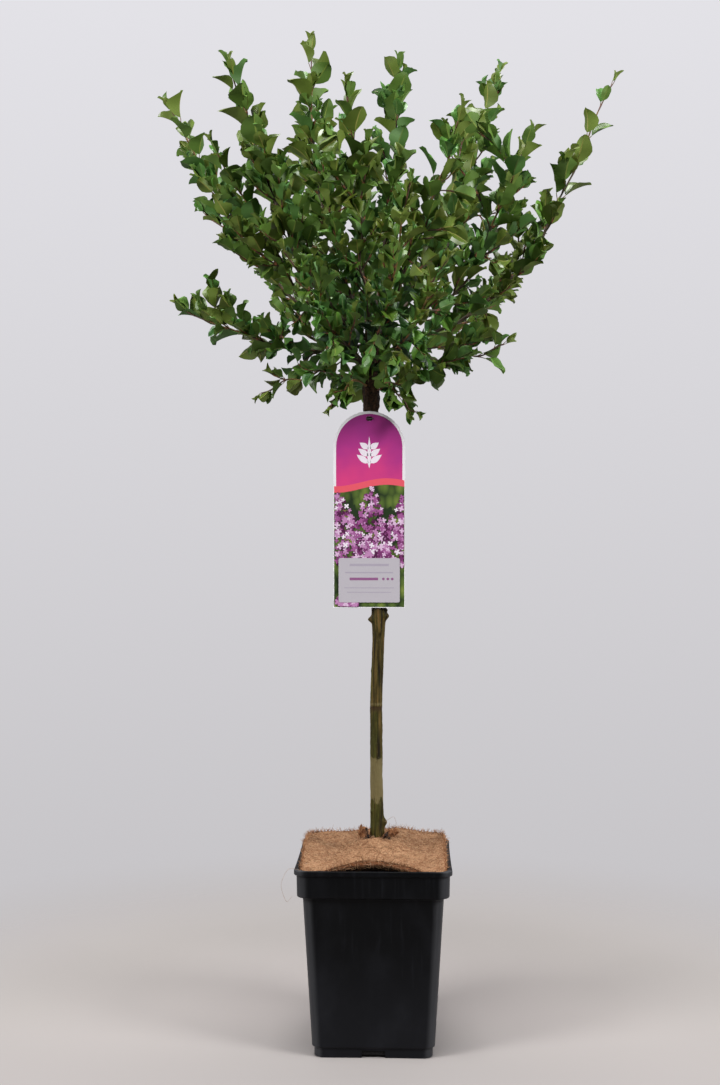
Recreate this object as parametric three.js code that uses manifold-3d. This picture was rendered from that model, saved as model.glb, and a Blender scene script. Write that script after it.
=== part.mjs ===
// A young dwarf lilac trained as a half-standard: one bare stem with a crown of upswept limbs, in its
// square nursery pot, with a coir mat over the soil and a card tag tied to the stem.
// Millimetres, +Z up, the front of the pot faces -Y, the origin is the middle of the pot's underside.
import * as THREE from "three";
import { mergeVertices } from "three/addons/utils/BufferGeometryUtils.js";
import Module from "manifold-3d";

const wasm = await Module();
wasm.setup();

// ---- driving dimensions -------------------------------------------------------------------------

const CLEARANCE = 0.3; // between pieces that touch

const POT = {
  height: 211,
  wall: 2,
  floor: 2.5,
  cornerRadius: 11,
  footHalf: 65.5, // half widths of the square, from the foot up to the lip
  bodyLowHalf: 68,
  bodyHighHalf: 77.5,
  collarHalf: 83.5,
  lipHalf: 86.5,
  footHeight: 12,
  collarFrom: 181,
  lipHeight: 5,
};
const DRAIN_NOTCH = { width: 26, height: 8 };
const CORNER_POINTS = 5; // in each rounded corner of the square
const SLOPE = 2; // height over which the pot steps out to its collar

const SOIL_LEVEL = 200;
const MAT = {
  half: 80,
  thickness: 9,
  foot: 1.9, // its lowest fibres over the soil
  edgeRise: 9,
  ripple: 1.5,
  rippleLength: 12,
  moundRise: 24,
  moundRadius: 34,
  moundX: 4, // the stem's foot
  rings: [0.12, 0.4, 0.7, 1], // shares of its half width
};

const STEM_SIDES = 12;
// Height, radius and the sideways lean of the stem's middle, from the cut at the soil to the head.
const STEM = [
  { z: SOIL_LEVEL + CLEARANCE, radius: 12.5, x: 4 }, // the flare over the roots
  { z: 225, radius: 9.5, x: 4 },
  { z: 247, radius: 7.8, x: 3 },
  { z: 300, radius: 7.2, x: 2 },
  { z: 383, radius: 7.0, x: 1.5 },
  { z: 455, radius: 7.0, x: 4 },
  { z: 478, radius: 8.0, x: 4.5 },
  { z: 490, radius: 8.4, x: 4.5 }, // an old knob
  { z: 503, radius: 7.1, x: 4 },
  { z: 600, radius: 7.0, x: 0 },
  { z: 700, radius: 7.2, x: -3.3 },
  { z: 711, radius: 7.4, x: -3.5 },
  { z: 724, radius: 9.6, x: -4 }, // the graft
  { z: 760, radius: 9.6, x: -4 },
  { z: 790, radius: 8.6, x: -4 },
  { z: 812, radius: 5.5, x: -4 },
];
const HEAD = new THREE.Vector3(-4, 0, 0); // the axis that the limbs fan out from

// Each limb leaves the head at its foot height and runs out along its bearing, over a knee, to its tip.
// Bearings are in degrees from +X towards +Y; knee and tip are [reach from the head, height].
// bare is the share of the limb with no foliage, girth the greatest radius of its foliage.
const LIMBS = {
  left_low: { bearing: 188, foot: 768, knee: [148, 804], tip: [224, 866], bare: 0.4, girth: 30 },
  left_outer: { bearing: 171, foot: 777, knee: [133, 884], tip: [248, 1086], bare: 0.26, girth: 33 },
  left_mid: { bearing: 204, foot: 791, knee: [113, 868], tip: [193, 1014], bare: 0.24, girth: 34 },
  left_front: { bearing: 219, foot: 782, knee: [109, 888], tip: [193, 1086], bare: 0.24, girth: 37 },
  centre_left: { bearing: 146, foot: 800, knee: [61, 915], tip: [88, 1156], bare: 0.12, girth: 39 },
  front_tall: { bearing: 261, foot: 801, knee: [90, 925], tip: [142, 1056], bare: 0.13, girth: 39 },
  centre_back: { bearing: 76, foot: 801, knee: [75, 960], tip: [122, 1154], bare: 0.14, girth: 38 },
  right_front: { bearing: 316, foot: 793, knee: [84, 912], tip: [143, 1042], bare: 0.2, girth: 38 },
  right_back: { bearing: 33, foot: 794, knee: [107, 904], tip: [182, 1132], bare: 0.2, girth: 38 },
  right_mid: { bearing: 348, foot: 783, knee: [120, 868], tip: [187, 1030], bare: 0.26, girth: 34 },
  right_outer: { bearing: 6, foot: 772, knee: [153, 856], tip: [282, 1104], bare: 0.26, girth: 27 },
  right_low: { bearing: 339, foot: 757, knee: [90, 765], tip: [170, 792], bare: 0.36, girth: 23 },
  skirt_left: { bearing: 195, foot: 749, knee: [60, 757], tip: [138, 744], bare: 0.34, girth: 19 },
  skirt_right: { bearing: 318, foot: 740, knee: [32, 744], tip: [74, 719], bare: 0.22, girth: 25 },
  skirt_front: { bearing: 236, foot: 742, knee: [40, 746], tip: [84, 722], bare: 0.3, girth: 21 },
  front_right: { bearing: 285, foot: 779, knee: [95, 838], tip: [184, 952], bare: 0.2, girth: 38 },
  front_low_left: { bearing: 238, foot: 764, knee: [88, 808], tip: [176, 886], bare: 0.22, girth: 36 },
  front_low_right: { bearing: 302, foot: 762, knee: [84, 800], tip: [166, 880], bare: 0.22, girth: 34 },
  back_left: { bearing: 122, foot: 784, knee: [112, 888], tip: [206, 1042], bare: 0.24, girth: 40 },
  back: { bearing: 93, foot: 775, knee: [130, 868], tip: [226, 986], bare: 0.24, girth: 40 },
  back_right: { bearing: 57, foot: 786, knee: [115, 888], tip: [212, 1032], bare: 0.24, girth: 40 },
  back_low_left: { bearing: 146, foot: 763, knee: [90, 806], tip: [150, 886], bare: 0.3, girth: 34 },
  back_low_right: { bearing: 32, foot: 763, knee: [110, 806], tip: [208, 892], bare: 0.3, girth: 36 },
  skirt_back: { bearing: 100, foot: 745, knee: [55, 754], tip: [128, 758], bare: 0.34, girth: 26 },
};
const LIMB_FOOT_RADIUS = 3.9;
const LIMB_END_RADIUS = 1.9; // where it enters its foliage
const LIMB_SIDES = 6;
const LIMB_RINGS = 4;

const FOLIAGE_SIDES = 10;
const FOLIAGE_RINGS = 11;
const FOLIAGE_GAP = 1.6; // to the cell of each neighbouring mass
const FOLIAGE_LEAST = 4; // radius that a squeezed mass keeps
// Radius along a mass as [share of its length, share of its girth]: blunt below, thin at the shoot's tip.
const FOLIAGE_PROFILE = [[0, 0.72], [0.3, 1.18], [0.6, 0.96], [0.8, 0.64], [1, 0.32]];
const FOLIAGE_TIERS = 3.6; // swellings along a mass, where its leaves stand closer
const FOLIAGE_UNEVEN = { tier: 0.14, flat: 0.16, three: 0.1 };
const FOLIAGE_LIFT = 0.4; // how much fuller the upper side of a leaning shoot is
const LAST_RING = 0.96; // share of a mass's length at its last ring, before the point
const FOLIAGE_STEP = 1; // by which a mass is drawn in where its neighbours leave it no room
const LIMB_ROOM = 1.2; // from a mass to another limb
const LINE_POINTS = 16; // along each mass, for finding the nearest one

const TAG = {
  width: 80.7,
  bottom: 493,
  shoulder: 674, // height at which the round top starts
  thickness: 0.8,
  middleX: -6,
  backY: -9.6,
  slotWidth: 21,
  slotHeight: 5,
  slotZ: 706,
};
const TIE = { cord: 0.9, sides: 6, steps: 24, side: 9, front: 12.4, back: 8.55, middleX: -3.4 };

const COLOURS = {
  pot: { color: 0x17181a, roughness: 0.42, metalness: 0 },
  soil: { color: 0x2b2019, roughness: 0.95, metalness: 0 },
  coir: { color: 0xb5834f, roughness: 0.95, metalness: 0 },
  bark: { color: 0x5d5238, roughness: 0.85, metalness: 0 },
  twig: { color: 0x4a3324, roughness: 0.8, metalness: 0 },
  leaf: { color: 0x3f6b22, roughness: 0.5, metalness: 0 },
  card: { color: 0x9a3f8f, roughness: 0.35, metalness: 0 },
  tie: { color: 0xd9d6cf, roughness: 0.4, metalness: 0 },
};

// ---- building blocks ----------------------------------------------------------------------------

// A skin over a row of rings with equally many points, shut by a fan at each end.
function loft(rings) {
  const count = rings[0].length;
  const points = rings.flat();
  const faces = [];
  for (let ring = 0; ring + 1 < rings.length; ring++)
    for (let i = 0; i < count; i++) {
      const a = ring * count + i;
      const b = ring * count + ((i + 1) % count);
      faces.push(a, b, b + count, a, b + count, a + count);
    }
  const last = (rings.length - 1) * count;
  points.push(middle(rings[0]), middle(rings.at(-1)));
  for (let i = 0; i < count; i++) {
    const next = (i + 1) % count;
    faces.push(points.length - 2, next, i);
    faces.push(points.length - 1, last + i, last + next);
  }
  const geometry = new THREE.BufferGeometry().setFromPoints(points);
  geometry.setIndex(faces);
  return geometry;
}

function middle(points) {
  return points.reduce((sum, p) => sum.add(p), new THREE.Vector3()).divideScalar(points.length);
}

// Two directions square to a path, kept level so that a tube doesn't twist.
function crossAxes(tangent) {
  const reference = Math.abs(tangent.z) > 0.95 ? new THREE.Vector3(0, 1, 0) : new THREE.Vector3(0, 0, 1);
  const side = new THREE.Vector3().crossVectors(reference, tangent).normalize();
  return [side, new THREE.Vector3().crossVectors(tangent, side)];
}

function ringRound(centre, axes, radii) {
  return radii.map((radius, i) => {
    const angle = (2 * Math.PI * i) / radii.length;
    return centre
      .clone()
      .addScaledVector(axes[0], radius * Math.cos(angle))
      .addScaledVector(axes[1], radius * Math.sin(angle));
  });
}

function solidOf(geometry) {
  const bare = geometry.clone();
  bare.deleteAttribute("normal");
  bare.deleteAttribute("uv");
  const merged = mergeVertices(bare, 1e-4);
  return new wasm.Manifold(
    new wasm.Mesh({
      numProp: 3,
      vertProperties: merged.attributes.position.array,
      triVerts: new Uint32Array(merged.index.array),
    }),
  );
}

// The largest body of a solid, as a geometry.
function geometryOf(solid) {
  const body = solid.decompose().sort((a, b) => b.volume() - a.volume())[0];
  const mesh = body.getMesh();
  const geometry = new THREE.BufferGeometry();
  geometry.setAttribute("position", new THREE.BufferAttribute(mesh.vertProperties, 3));
  geometry.setIndex(new THREE.BufferAttribute(mesh.triVerts, 1));
  return geometry;
}

function piece(name, geometry, finish) {
  geometry.computeVertexNormals();
  const mesh = new THREE.Mesh(geometry, new THREE.MeshStandardMaterial(COLOURS[finish]));
  mesh.name = name;
  return mesh;
}

// ---- pot, soil and mat --------------------------------------------------------------------------

function roundedSquare(half, z, radius = POT.cornerRadius) {
  const points = [];
  for (let i = 0; i < 4 * CORNER_POINTS; i++) {
    const corner = Math.floor(i / CORNER_POINTS);
    const angle = (Math.PI / 2) * (corner + (i % CORNER_POINTS) / (CORNER_POINTS - 1));
    const [signX, signY] = [corner === 0 || corner === 3 ? 1 : -1, corner < 2 ? 1 : -1];
    const x = signX * (half - radius) + radius * Math.cos(angle);
    const y = signY * (half - radius) + radius * Math.sin(angle);
    points.push(new THREE.Vector3(x, y, z));
  }
  return points;
}

function pot() {
  const lipFrom = POT.height - POT.lipHeight;
  const outside = [
    [POT.footHalf, 0],
    [POT.footHalf, POT.footHeight - SLOPE],
    [POT.bodyLowHalf, POT.footHeight],
    [POT.bodyHighHalf, POT.collarFrom - SLOPE],
    [POT.collarHalf, POT.collarFrom],
    [POT.collarHalf, lipFrom - 1],
    [POT.lipHalf, lipFrom],
    [POT.lipHalf, POT.height],
  ];
  const inside = [
    [POT.collarHalf - POT.wall, POT.height],
    [POT.collarHalf - POT.wall, POT.collarFrom + SLOPE],
    [POT.bodyHighHalf - POT.wall, POT.collarFrom],
    [POT.footHalf - POT.wall, POT.floor],
  ];
  const shell = solidOf(loft([...outside, ...inside].map(([half, z]) => roundedSquare(half, z))));
  const width = 2 * POT.bodyHighHalf;
  const inner = 2 * (POT.footHalf - 2 * POT.wall);
  const notch = new THREE.BoxGeometry(DRAIN_NOTCH.width, width, 2 * DRAIN_NOTCH.height);
  const core = new THREE.BoxGeometry(inner, inner, 3 * DRAIN_NOTCH.height);
  const across = solidOf(notch.clone().rotateZ(Math.PI / 2));
  const notches = solidOf(notch).add(across).subtract(solidOf(core));
  return geometryOf(shell.subtract(notches));
}

function soil() {
  const gap = 1.6 * CLEARANCE; // also clear where the faceted corners differ a little
  const rings = [
    [POT.footHalf - POT.wall - gap, POT.floor + gap],
    [POT.bodyHighHalf - POT.wall - gap, POT.collarFrom + gap],
    [POT.collarHalf - POT.wall - gap, POT.collarFrom + SLOPE + gap],
    [POT.collarHalf - POT.wall - gap, SOIL_LEVEL],
  ];
  return loft(rings.map(([half, z]) => roundedSquare(half, z)));
}

// The mat lies on the soil, arches up along its edges and mounds up round the stem.
function matLift(x, y) {
  const along = (v) => Math.cos((0.5 * Math.PI * v) / MAT.half) ** 2;
  const edge = Math.max(Math.abs(x), Math.abs(y)) / MAT.half;
  const arch = MAT.edgeRise * edge ** 4 * (Math.abs(y) > Math.abs(x) ? along(x) : along(y));
  return arch + MAT.ripple * Math.sin(x / MAT.rippleLength + 1) * Math.sin(y / MAT.rippleLength);
}

function mat(stemSolid) {
  const base = SOIL_LEVEL + MAT.foot;
  const mound = (x, y) =>
    MAT.moundRise * Math.exp(-((Math.hypot(x - MAT.moundX, y) / MAT.moundRadius) ** 2));
  const sheet = (share, isTop) =>
    roundedSquare(MAT.half, 0).map((p) => {
      const x = p.x * share;
      const y = p.y * share;
      const under = base + matLift(x, y);
      return new THREE.Vector3(x, y, isTop ? under + MAT.thickness + mound(x, y) : under);
    });
  const rings = [
    ...MAT.rings.map((share) => sheet(share, false)),
    ...MAT.rings.toReversed().map((share) => sheet(share, true)),
  ];
  return geometryOf(solidOf(loft(rings)).subtract(stemSolid));
}

// ---- stem and limbs -----------------------------------------------------------------------------

function stem(extra = 0) {
  const rings = STEM.map(({ z, radius, x }, k) => {
    const end = k === 0 ? -2 * extra : k === STEM.length - 1 ? 2 * extra : 0;
    const wide = Array.from({ length: STEM_SIDES }, () => radius + extra);
    const axes = [new THREE.Vector3(1, 0, 0), new THREE.Vector3(0, 1, 0)];
    return ringRound(new THREE.Vector3(x, 0, z + end), axes, wide);
  });
  return loft(rings);
}

// A limb's middle line from inside the head to its tip.
function limbPath({ bearing, foot, knee, tip }) {
  const turn = THREE.MathUtils.degToRad(bearing);
  const at = (reach, height) =>
    new THREE.Vector3(HEAD.x + reach * Math.cos(turn), HEAD.y + reach * Math.sin(turn), height);
  return new THREE.CatmullRomCurve3([at(0, foot), at(...knee), at(...tip)], false, "centripetal");
}

function limb(path, bare, extra = 0) {
  const rings = [];
  for (let k = 0; k <= LIMB_RINGS; k++) {
    const share = k / LIMB_RINGS;
    const radius = THREE.MathUtils.lerp(LIMB_FOOT_RADIUS, LIMB_END_RADIUS, share) + extra;
    const axes = crossAxes(path.getTangentAt(share * bare));
    rings.push(ringRound(path.getPointAt(share * bare), axes, Array(LIMB_SIDES).fill(radius)));
  }
  return loft(rings);
}

// ---- foliage ------------------------------------------------------------------------------------

function foliageShare(s) {
  const next = FOLIAGE_PROFILE.findIndex(([at]) => at >= s && at > 0);
  const [from, low] = FOLIAGE_PROFILE[next - 1];
  const [to, high] = FOLIAGE_PROFILE[next];
  return THREE.MathUtils.lerp(low, high, THREE.MathUtils.smoothstep(s, from, to));
}

// How far a mass swells or shrinks at a share of its length and an angle round it.
function unevenness(s, angle, seed) {
  const { tier, flat, three } = FOLIAGE_UNEVEN;
  const tiers = tier * Math.sin(2 * Math.PI * FOLIAGE_TIERS * s + seed + angle);
  return 1 + tiers + flat * Math.sin(2 * angle + seed + 5 * s) + three * Math.sin(3 * angle - seed + 9 * s);
}

function samples(path, from, to, count) {
  return Array.from({ length: count }, (_, i) => {
    return path.getPointAt(THREE.MathUtils.lerp(from, to, i / (count - 1)));
  });
}

function nearest(point, line) {
  return Math.min(...line.map((q) => q.distanceTo(point)));
}

// A point belongs to a mass when it is nearer to that mass's line than to any other, for their girths.
function isFree(point, own, others) {
  const away = nearest(point, own.line);
  return others.every((other) => {
    const far = nearest(point, other.line);
    const spare = (far * own.girth - away * other.girth) / (own.girth + other.girth);
    return spare > FOLIAGE_GAP;
  });
}

function foliage(own, others, seed) {
  const rings = [];
  for (let k = 0; k < FOLIAGE_RINGS; k++) {
    const s = k / (FOLIAGE_RINGS - 1);
    const at = THREE.MathUtils.lerp(own.from, 1, s * LAST_RING);
    const centre = own.path.getPointAt(at);
    const axes = crossAxes(own.path.getTangentAt(at));
    const plain = own.girth * foliageShare(s);
    const radii = Array.from({ length: FOLIAGE_SIDES }, (_, i) => {
      const angle = (2 * Math.PI * i) / FOLIAGE_SIDES;
      const way = axes[0].clone().multiplyScalar(Math.cos(angle)).addScaledVector(axes[1], Math.sin(angle));
      let radius = plain * unevenness(s, angle, seed) * (1 + FOLIAGE_LIFT * way.z);
      while (radius > FOLIAGE_LEAST && !isFree(centre.clone().addScaledVector(way, radius), own, others))
        radius -= FOLIAGE_STEP;
      return Math.max(radius, Math.min(FOLIAGE_LEAST, plain));
    });
    rings.push(ringRound(centre, axes, radii));
  }
  const shape = loft(rings);
  const positions = shape.attributes.position;
  const tip = own.path.getPointAt(1);
  positions.setXYZ(positions.count - 1, tip.x, tip.y, tip.z);
  return shape;
}

// ---- tag ----------------------------------------------------------------------------------------

function tagCard() {
  const half = TAG.width / 2;
  const outline = new THREE.Shape();
  outline.moveTo(-half, TAG.bottom);
  outline.lineTo(half, TAG.bottom);
  outline.lineTo(half, TAG.shoulder);
  outline.absarc(0, TAG.shoulder, half, 0, Math.PI);
  outline.closePath();
  const slot = new THREE.Path();
  const end = (TAG.slotWidth - TAG.slotHeight) / 2;
  slot.absarc(end, TAG.slotZ, TAG.slotHeight / 2, -Math.PI / 2, Math.PI / 2);
  slot.absarc(-end, TAG.slotZ, TAG.slotHeight / 2, Math.PI / 2, 1.5 * Math.PI);
  slot.closePath();
  outline.holes.push(slot);
  const card = new THREE.ExtrudeGeometry(outline, {
    depth: TAG.thickness,
    bevelEnabled: false,
    curveSegments: 12,
  });
  return card.rotateX(Math.PI / 2).translate(TAG.middleX, TAG.backY, 0);
}

// A thin loop round the stem, drawn out in front through the tag's slot.
function tagTie() {
  const thin = 0.1; // the ring is made slim and round, then stretched to the loop
  const loop = new THREE.TorusGeometry(1, thin, TIE.sides, TIE.steps);
  const positions = loop.attributes.position;
  for (let i = 0; i < positions.count; i++) {
    const out = Math.hypot(positions.getX(i), positions.getY(i));
    const x = (TIE.side * positions.getX(i)) / out;
    const y = ((positions.getY(i) < 0 ? TIE.front : TIE.back) * positions.getY(i)) / out;
    const scale = 1 + ((out - 1) / thin) * (TIE.cord / Math.hypot(x, y));
    positions.setXYZ(i, x * scale, y * scale, (positions.getZ(i) / thin) * TIE.cord);
  }
  return loop.translate(TIE.middleX, 0, TAG.slotZ);
}

// ---- assembly -----------------------------------------------------------------------------------

const lilac = new THREE.Group();
const stemRoom = solidOf(stem(CLEARANCE));

lilac.add(piece("pot", pot(), "pot"));
lilac.add(piece("soil", soil(), "soil"));
lilac.add(piece("coir_mat", mat(stemRoom), "coir"));
lilac.add(piece("stem", stem(), "bark"));
lilac.add(piece("tag_card", tagCard(), "card"));
lilac.add(piece("tag_tie", tagTie(), "tie"));

const limbs = Object.entries(LIMBS).map(([name, size], index) => {
  const path = limbPath(size);
  const length = path.getLength();
  return {
    name,
    path,
    bare: size.bare,
    girth: size.girth,
    from: size.bare + CLEARANCE / length,
    line: samples(path, size.bare, 1, LINE_POINTS),
    seed: 1.7 * index,
  };
});

let taken = stemRoom;
for (const { name, path, bare } of limbs) {
  const wood = solidOf(limb(path, bare)).subtract(taken);
  lilac.add(piece("limb_" + name, geometryOf(wood), "twig"));
  taken = taken.add(solidOf(limb(path, bare, CLEARANCE)));
}

for (const own of limbs) {
  const others = limbs.filter((other) => other !== own);
  const room = others
    .map((other) => solidOf(limb(other.path, other.bare, LIMB_ROOM)))
    .reduce((sum, solid) => sum.add(solid), stemRoom);
  const mass = solidOf(foliage(own, others, own.seed)).subtract(room);
  lilac.add(piece("foliage_" + own.name, geometryOf(mass), "leaf"));
}

export default lilac;
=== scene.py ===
# %% [markdown]
# # A lilac bush on a clear stem, in its nursery pot
# The plant comes as plain solids: a pot with soil and a coir mat, one stem, and a head of limbs and
# foliage masses, with a card tag on its stem. This lesson turns them into the finished plant. The solids
# stay the guide for every size and place, so each finished piece is worked out from them and stands where
# its solid stood.

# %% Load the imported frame
import math

import bpy
import numpy as np
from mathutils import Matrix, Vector, noise
from mathutils.bvhtree import BVHTree


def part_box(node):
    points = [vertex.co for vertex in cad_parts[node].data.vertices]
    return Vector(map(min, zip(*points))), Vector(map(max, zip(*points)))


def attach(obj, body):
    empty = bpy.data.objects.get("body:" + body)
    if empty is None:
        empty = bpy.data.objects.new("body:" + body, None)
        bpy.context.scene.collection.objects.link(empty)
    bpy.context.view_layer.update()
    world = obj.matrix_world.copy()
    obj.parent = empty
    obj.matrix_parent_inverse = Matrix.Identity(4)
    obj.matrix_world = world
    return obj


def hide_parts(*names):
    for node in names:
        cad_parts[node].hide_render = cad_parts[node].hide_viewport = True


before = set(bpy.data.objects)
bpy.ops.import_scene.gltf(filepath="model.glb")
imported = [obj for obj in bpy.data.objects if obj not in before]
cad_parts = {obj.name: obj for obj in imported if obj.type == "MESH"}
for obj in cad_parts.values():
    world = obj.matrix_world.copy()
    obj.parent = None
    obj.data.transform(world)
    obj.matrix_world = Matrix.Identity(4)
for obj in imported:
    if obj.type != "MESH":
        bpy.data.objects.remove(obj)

for spare in ("Cube", "Light", "Camera"):
    if spare in bpy.data.objects:
        bpy.data.objects.remove(bpy.data.objects[spare])

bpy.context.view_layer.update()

# %% [markdown]
# ## The view
# A tall plant is looked at from far enough away that its pot and its head keep their true proportions.
# The camera stands in front, at about half the plant's height, and looks very slightly down. Blender
# measures the lens against the long side of the picture.

# %% The camera
CAMERA_PLACE = (0.040, -1.745, 0.612)
CAMERA_DOWN = 1.5
CAMERA_TURN = 1.862
CAMERA_LENS = 51.1

camera_data = bpy.data.cameras.new("view")
camera_data.lens = CAMERA_LENS
camera_data.sensor_width = 36
camera = bpy.data.objects.new("view", camera_data)
camera.location = CAMERA_PLACE
camera.rotation_euler = (math.radians(90 - CAMERA_DOWN), 0, math.radians(CAMERA_TURN))
bpy.context.collection.objects.link(camera)
bpy.context.scene.camera = camera
print("camera", CAMERA_PLACE, "lens", CAMERA_LENS)

# %% [markdown]
# ## Helpers for nodes
# A material is a small circuit of nodes. Written node by node it is hard to read, so a wire gets Python's
# operators: an expression such as `streak * 0.6 + 0.2` adds its Math nodes. Everything else comes from one
# method that takes the node's type, its settings and the values of its sockets. The world's light and the
# trees of Geometry Nodes are such circuits too, so the same method serves them.

# %% Wires with operators


def tint(red, green, blue):
    """A screen colour, 0 to 255 for each part, as the light that Blender works with."""
    parts = [part / 255 for part in (red, green, blue)]
    return tuple(p / 12.92 if p <= 0.04045 else ((p + 0.055) / 1.055) ** 2.4 for p in parts) + (1.0,)


class Wire:
    """The output of a node, with arithmetic."""

    def __init__(self, circuit, socket):
        self.circuit = circuit
        self.socket = socket

    def maths(self, operation, first, second):
        return self.circuit.node("ShaderNodeMath", {"operation": operation}, {0: first, 1: second})

    def __add__(self, other):
        return self.maths("ADD", self, other)

    def __sub__(self, other):
        return self.maths("SUBTRACT", self, other)

    def __rsub__(self, other):
        return self.maths("SUBTRACT", other, self)

    def __mul__(self, other):
        return self.maths("MULTIPLY", self, other)

    def __truediv__(self, other):
        return self.maths("DIVIDE", self, other)

    def __abs__(self):
        return self.maths("ABSOLUTE", self, 0.0)

    def least(self, other):
        return self.maths("MINIMUM", self, other)

    def most(self, other):
        return self.maths("MAXIMUM", self, other)

    def between(self, low, high):
        """0 below low, 1 above high and a soft step between them."""
        limits = {"Value": self, "From Min": low, "From Max": high}
        return self.circuit.node("ShaderNodeMapRange", {"interpolation_type": "SMOOTHSTEP"}, limits)

    __radd__ = __add__
    __rmul__ = __mul__


# %% Circuits and finishes


class Circuit:
    """A tree of nodes; a colour is given to it as three numbers from 0 to 255."""

    def __init__(self, tree):
        self.tree = tree

    def give(self, socket, value):
        if isinstance(value, Wire):
            self.tree.links.new(value.socket, socket)
        else:
            socket.default_value = tint(*value) if socket.type == "RGBA" else value

    def node(self, kind, settings, sockets, output=0):
        made = self.tree.nodes.new(kind)
        for key, value in settings.items():
            if key == "stops":
                ramp = made.color_ramp.elements
                while len(ramp) < len(value):
                    ramp.new(1.0)
                for stop, (place, colour) in zip(ramp, value):
                    stop.position = place
                    stop.color = tint(*colour)
            else:
                setattr(made, key, value)
        for key, value in sockets.items():
            self.give(made.inputs[key], value)
        return Wire(self, made.outputs[output])

    def mix(self, factor, first, second):
        return self.node("ShaderNodeMix", {"data_type": "RGBA"}, {0: factor, 6: first, 7: second}, 2)

    def part(self, vector, axis):
        return self.node("ShaderNodeSeparateXYZ", {}, {"Vector": vector}, axis)


class Finish(Circuit):
    """A material: plain values go straight to the shader's sockets, and node() adds what varies."""

    def __init__(self, name, colour, roughness, **plain):
        self.material = bpy.data.materials.new(name)
        self.material.use_nodes = True
        self.material.diffuse_color = tint(*colour)
        super().__init__(self.material.node_tree)
        self.shader = self.tree.nodes["Principled BSDF"]
        for socket, value in {"Base Color": colour, "Roughness": roughness, **plain}.items():
            self.set(socket, value)

    def set(self, socket, value):
        names = {known.name.lower(): known for known in self.shader.inputs}
        self.give(names[socket.replace("_", " ").lower()], value)

    def place(self, scale=(1.0, 1.0, 1.0)):
        """Object coordinates in metres, stretched by scale."""
        raw = self.node("ShaderNodeTexCoord", {}, {}, "Object")
        return self.node("ShaderNodeMapping", {}, {"Vector": raw, "Scale": scale})

    def along(self, axis):
        return self.part(self.node("ShaderNodeTexCoord", {}, {}, "Object"), axis)

    def cloud(self, place, scale, detail=4.0):
        sockets = {"Vector": place, "Scale": scale, "Detail": detail, "Roughness": 0.55}
        return self.node("ShaderNodeTexNoise", {}, sockets, "Fac")

    def cells(self, place, scale):
        """How far each place is from the nearest of many scattered points."""
        return self.node("ShaderNodeTexVoronoi", {}, {"Vector": place, "Scale": scale}, "Distance")

    def ramp(self, factor, *stops):
        return self.node("ShaderNodeValToRGB", {"stops": stops}, {"Fac": factor}, "Color")

    def bump(self, height, distance, strength):
        sockets = {"Height": height, "Distance": distance, "Strength": strength}
        self.set("Normal", self.node("ShaderNodeBump", {}, sockets, "Normal"))


def plain_finishes(name, colours, roughness, **plain):
    """One material of a plain colour for each of the colours."""
    return [Finish(f"{name}_{i}", colour, roughness, **plain).material for i, colour in enumerate(colours)]


# %% [markdown]
# ## Helpers for shapes
# The head of the plant is thousands of small shapes, too many to make one by one with Blender's tools. A
# mesh can be written straight from arrays of numbers instead: where the points are, which points each
# face joins, and which material each face takes. Most of the rest is rings of points, closed by a pole at
# each end: the pot, the mat and the stem as lofts, and limbs, shoots and leaf stalks as tubes along a line.

# %% Meshes from arrays


def mesh_piece(name, points, faces, materials, slots=None, crease=30, grain=None):
    """A mesh object from points, faces (lists of arrays of equal length) and the slot of each face."""
    corners = np.concatenate([group.ravel() for group in faces]).astype(np.int32)
    sizes = np.concatenate([np.full(len(group), group.shape[1]) for group in faces])
    starts = np.concatenate(([0], np.cumsum(sizes)[:-1])).astype(np.int32)
    mesh = bpy.data.meshes.new(name)
    mesh.vertices.add(len(points))
    mesh.vertices.foreach_set("co", np.asarray(points, np.float32).ravel())
    mesh.loops.add(len(corners))
    mesh.loops.foreach_set("vertex_index", corners)
    mesh.polygons.add(len(starts))
    mesh.polygons.foreach_set("loop_start", starts)
    for material in materials:
        mesh.materials.append(material)
    if slots is not None:
        mesh.polygons.foreach_set("material_index", np.asarray(slots, np.int32))
    mesh.update(calc_edges=True)
    mesh.validate()
    mesh.shade_smooth()
    mesh.set_sharp_from_angle(angle=math.radians(crease))
    if grain is not None:
        layer = mesh.attributes.new("grain", "FLOAT_VECTOR", "POINT")
        layer.data.foreach_set("vector", np.asarray(grain, np.float32).ravel())
    piece = bpy.data.objects.new(name, mesh)
    bpy.context.collection.objects.link(piece)
    return piece


def finished(piece, slot, *nodes):
    """Attaches a finished piece to the root body and hides the solids that it stands for; slot is not used.
    """
    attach(piece, "root")
    if nodes:
        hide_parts(*nodes)
    piece.data.calc_loop_triangles()
    print(f"{piece.name}: {len(piece.data.vertices)} points, {len(piece.data.loop_triangles)} triangles")
    return piece


def unit(vectors):
    vectors = np.asarray(vectors, float)
    return vectors / np.maximum(np.linalg.norm(vectors, axis=-1, keepdims=True), 1e-12)


def node_points(name):
    """The separate corners of a solid."""
    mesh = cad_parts[name].data
    flat = np.empty(3 * len(mesh.vertices))
    mesh.vertices.foreach_get("co", flat)
    return np.unique(flat.reshape(-1, 3).round(6), axis=0)


# %% Rings of points


def ring_faces(rings, around):
    """Quads between each ring of points and the next, all round."""
    ring, step = np.meshgrid(np.arange(rings - 1), np.arange(around), indexing="ij")
    here = ring * around + step
    beside = ring * around + (step + 1) % around
    return np.stack([here, beside, beside + around, here + around], -1).reshape(-1, 4)


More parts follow.
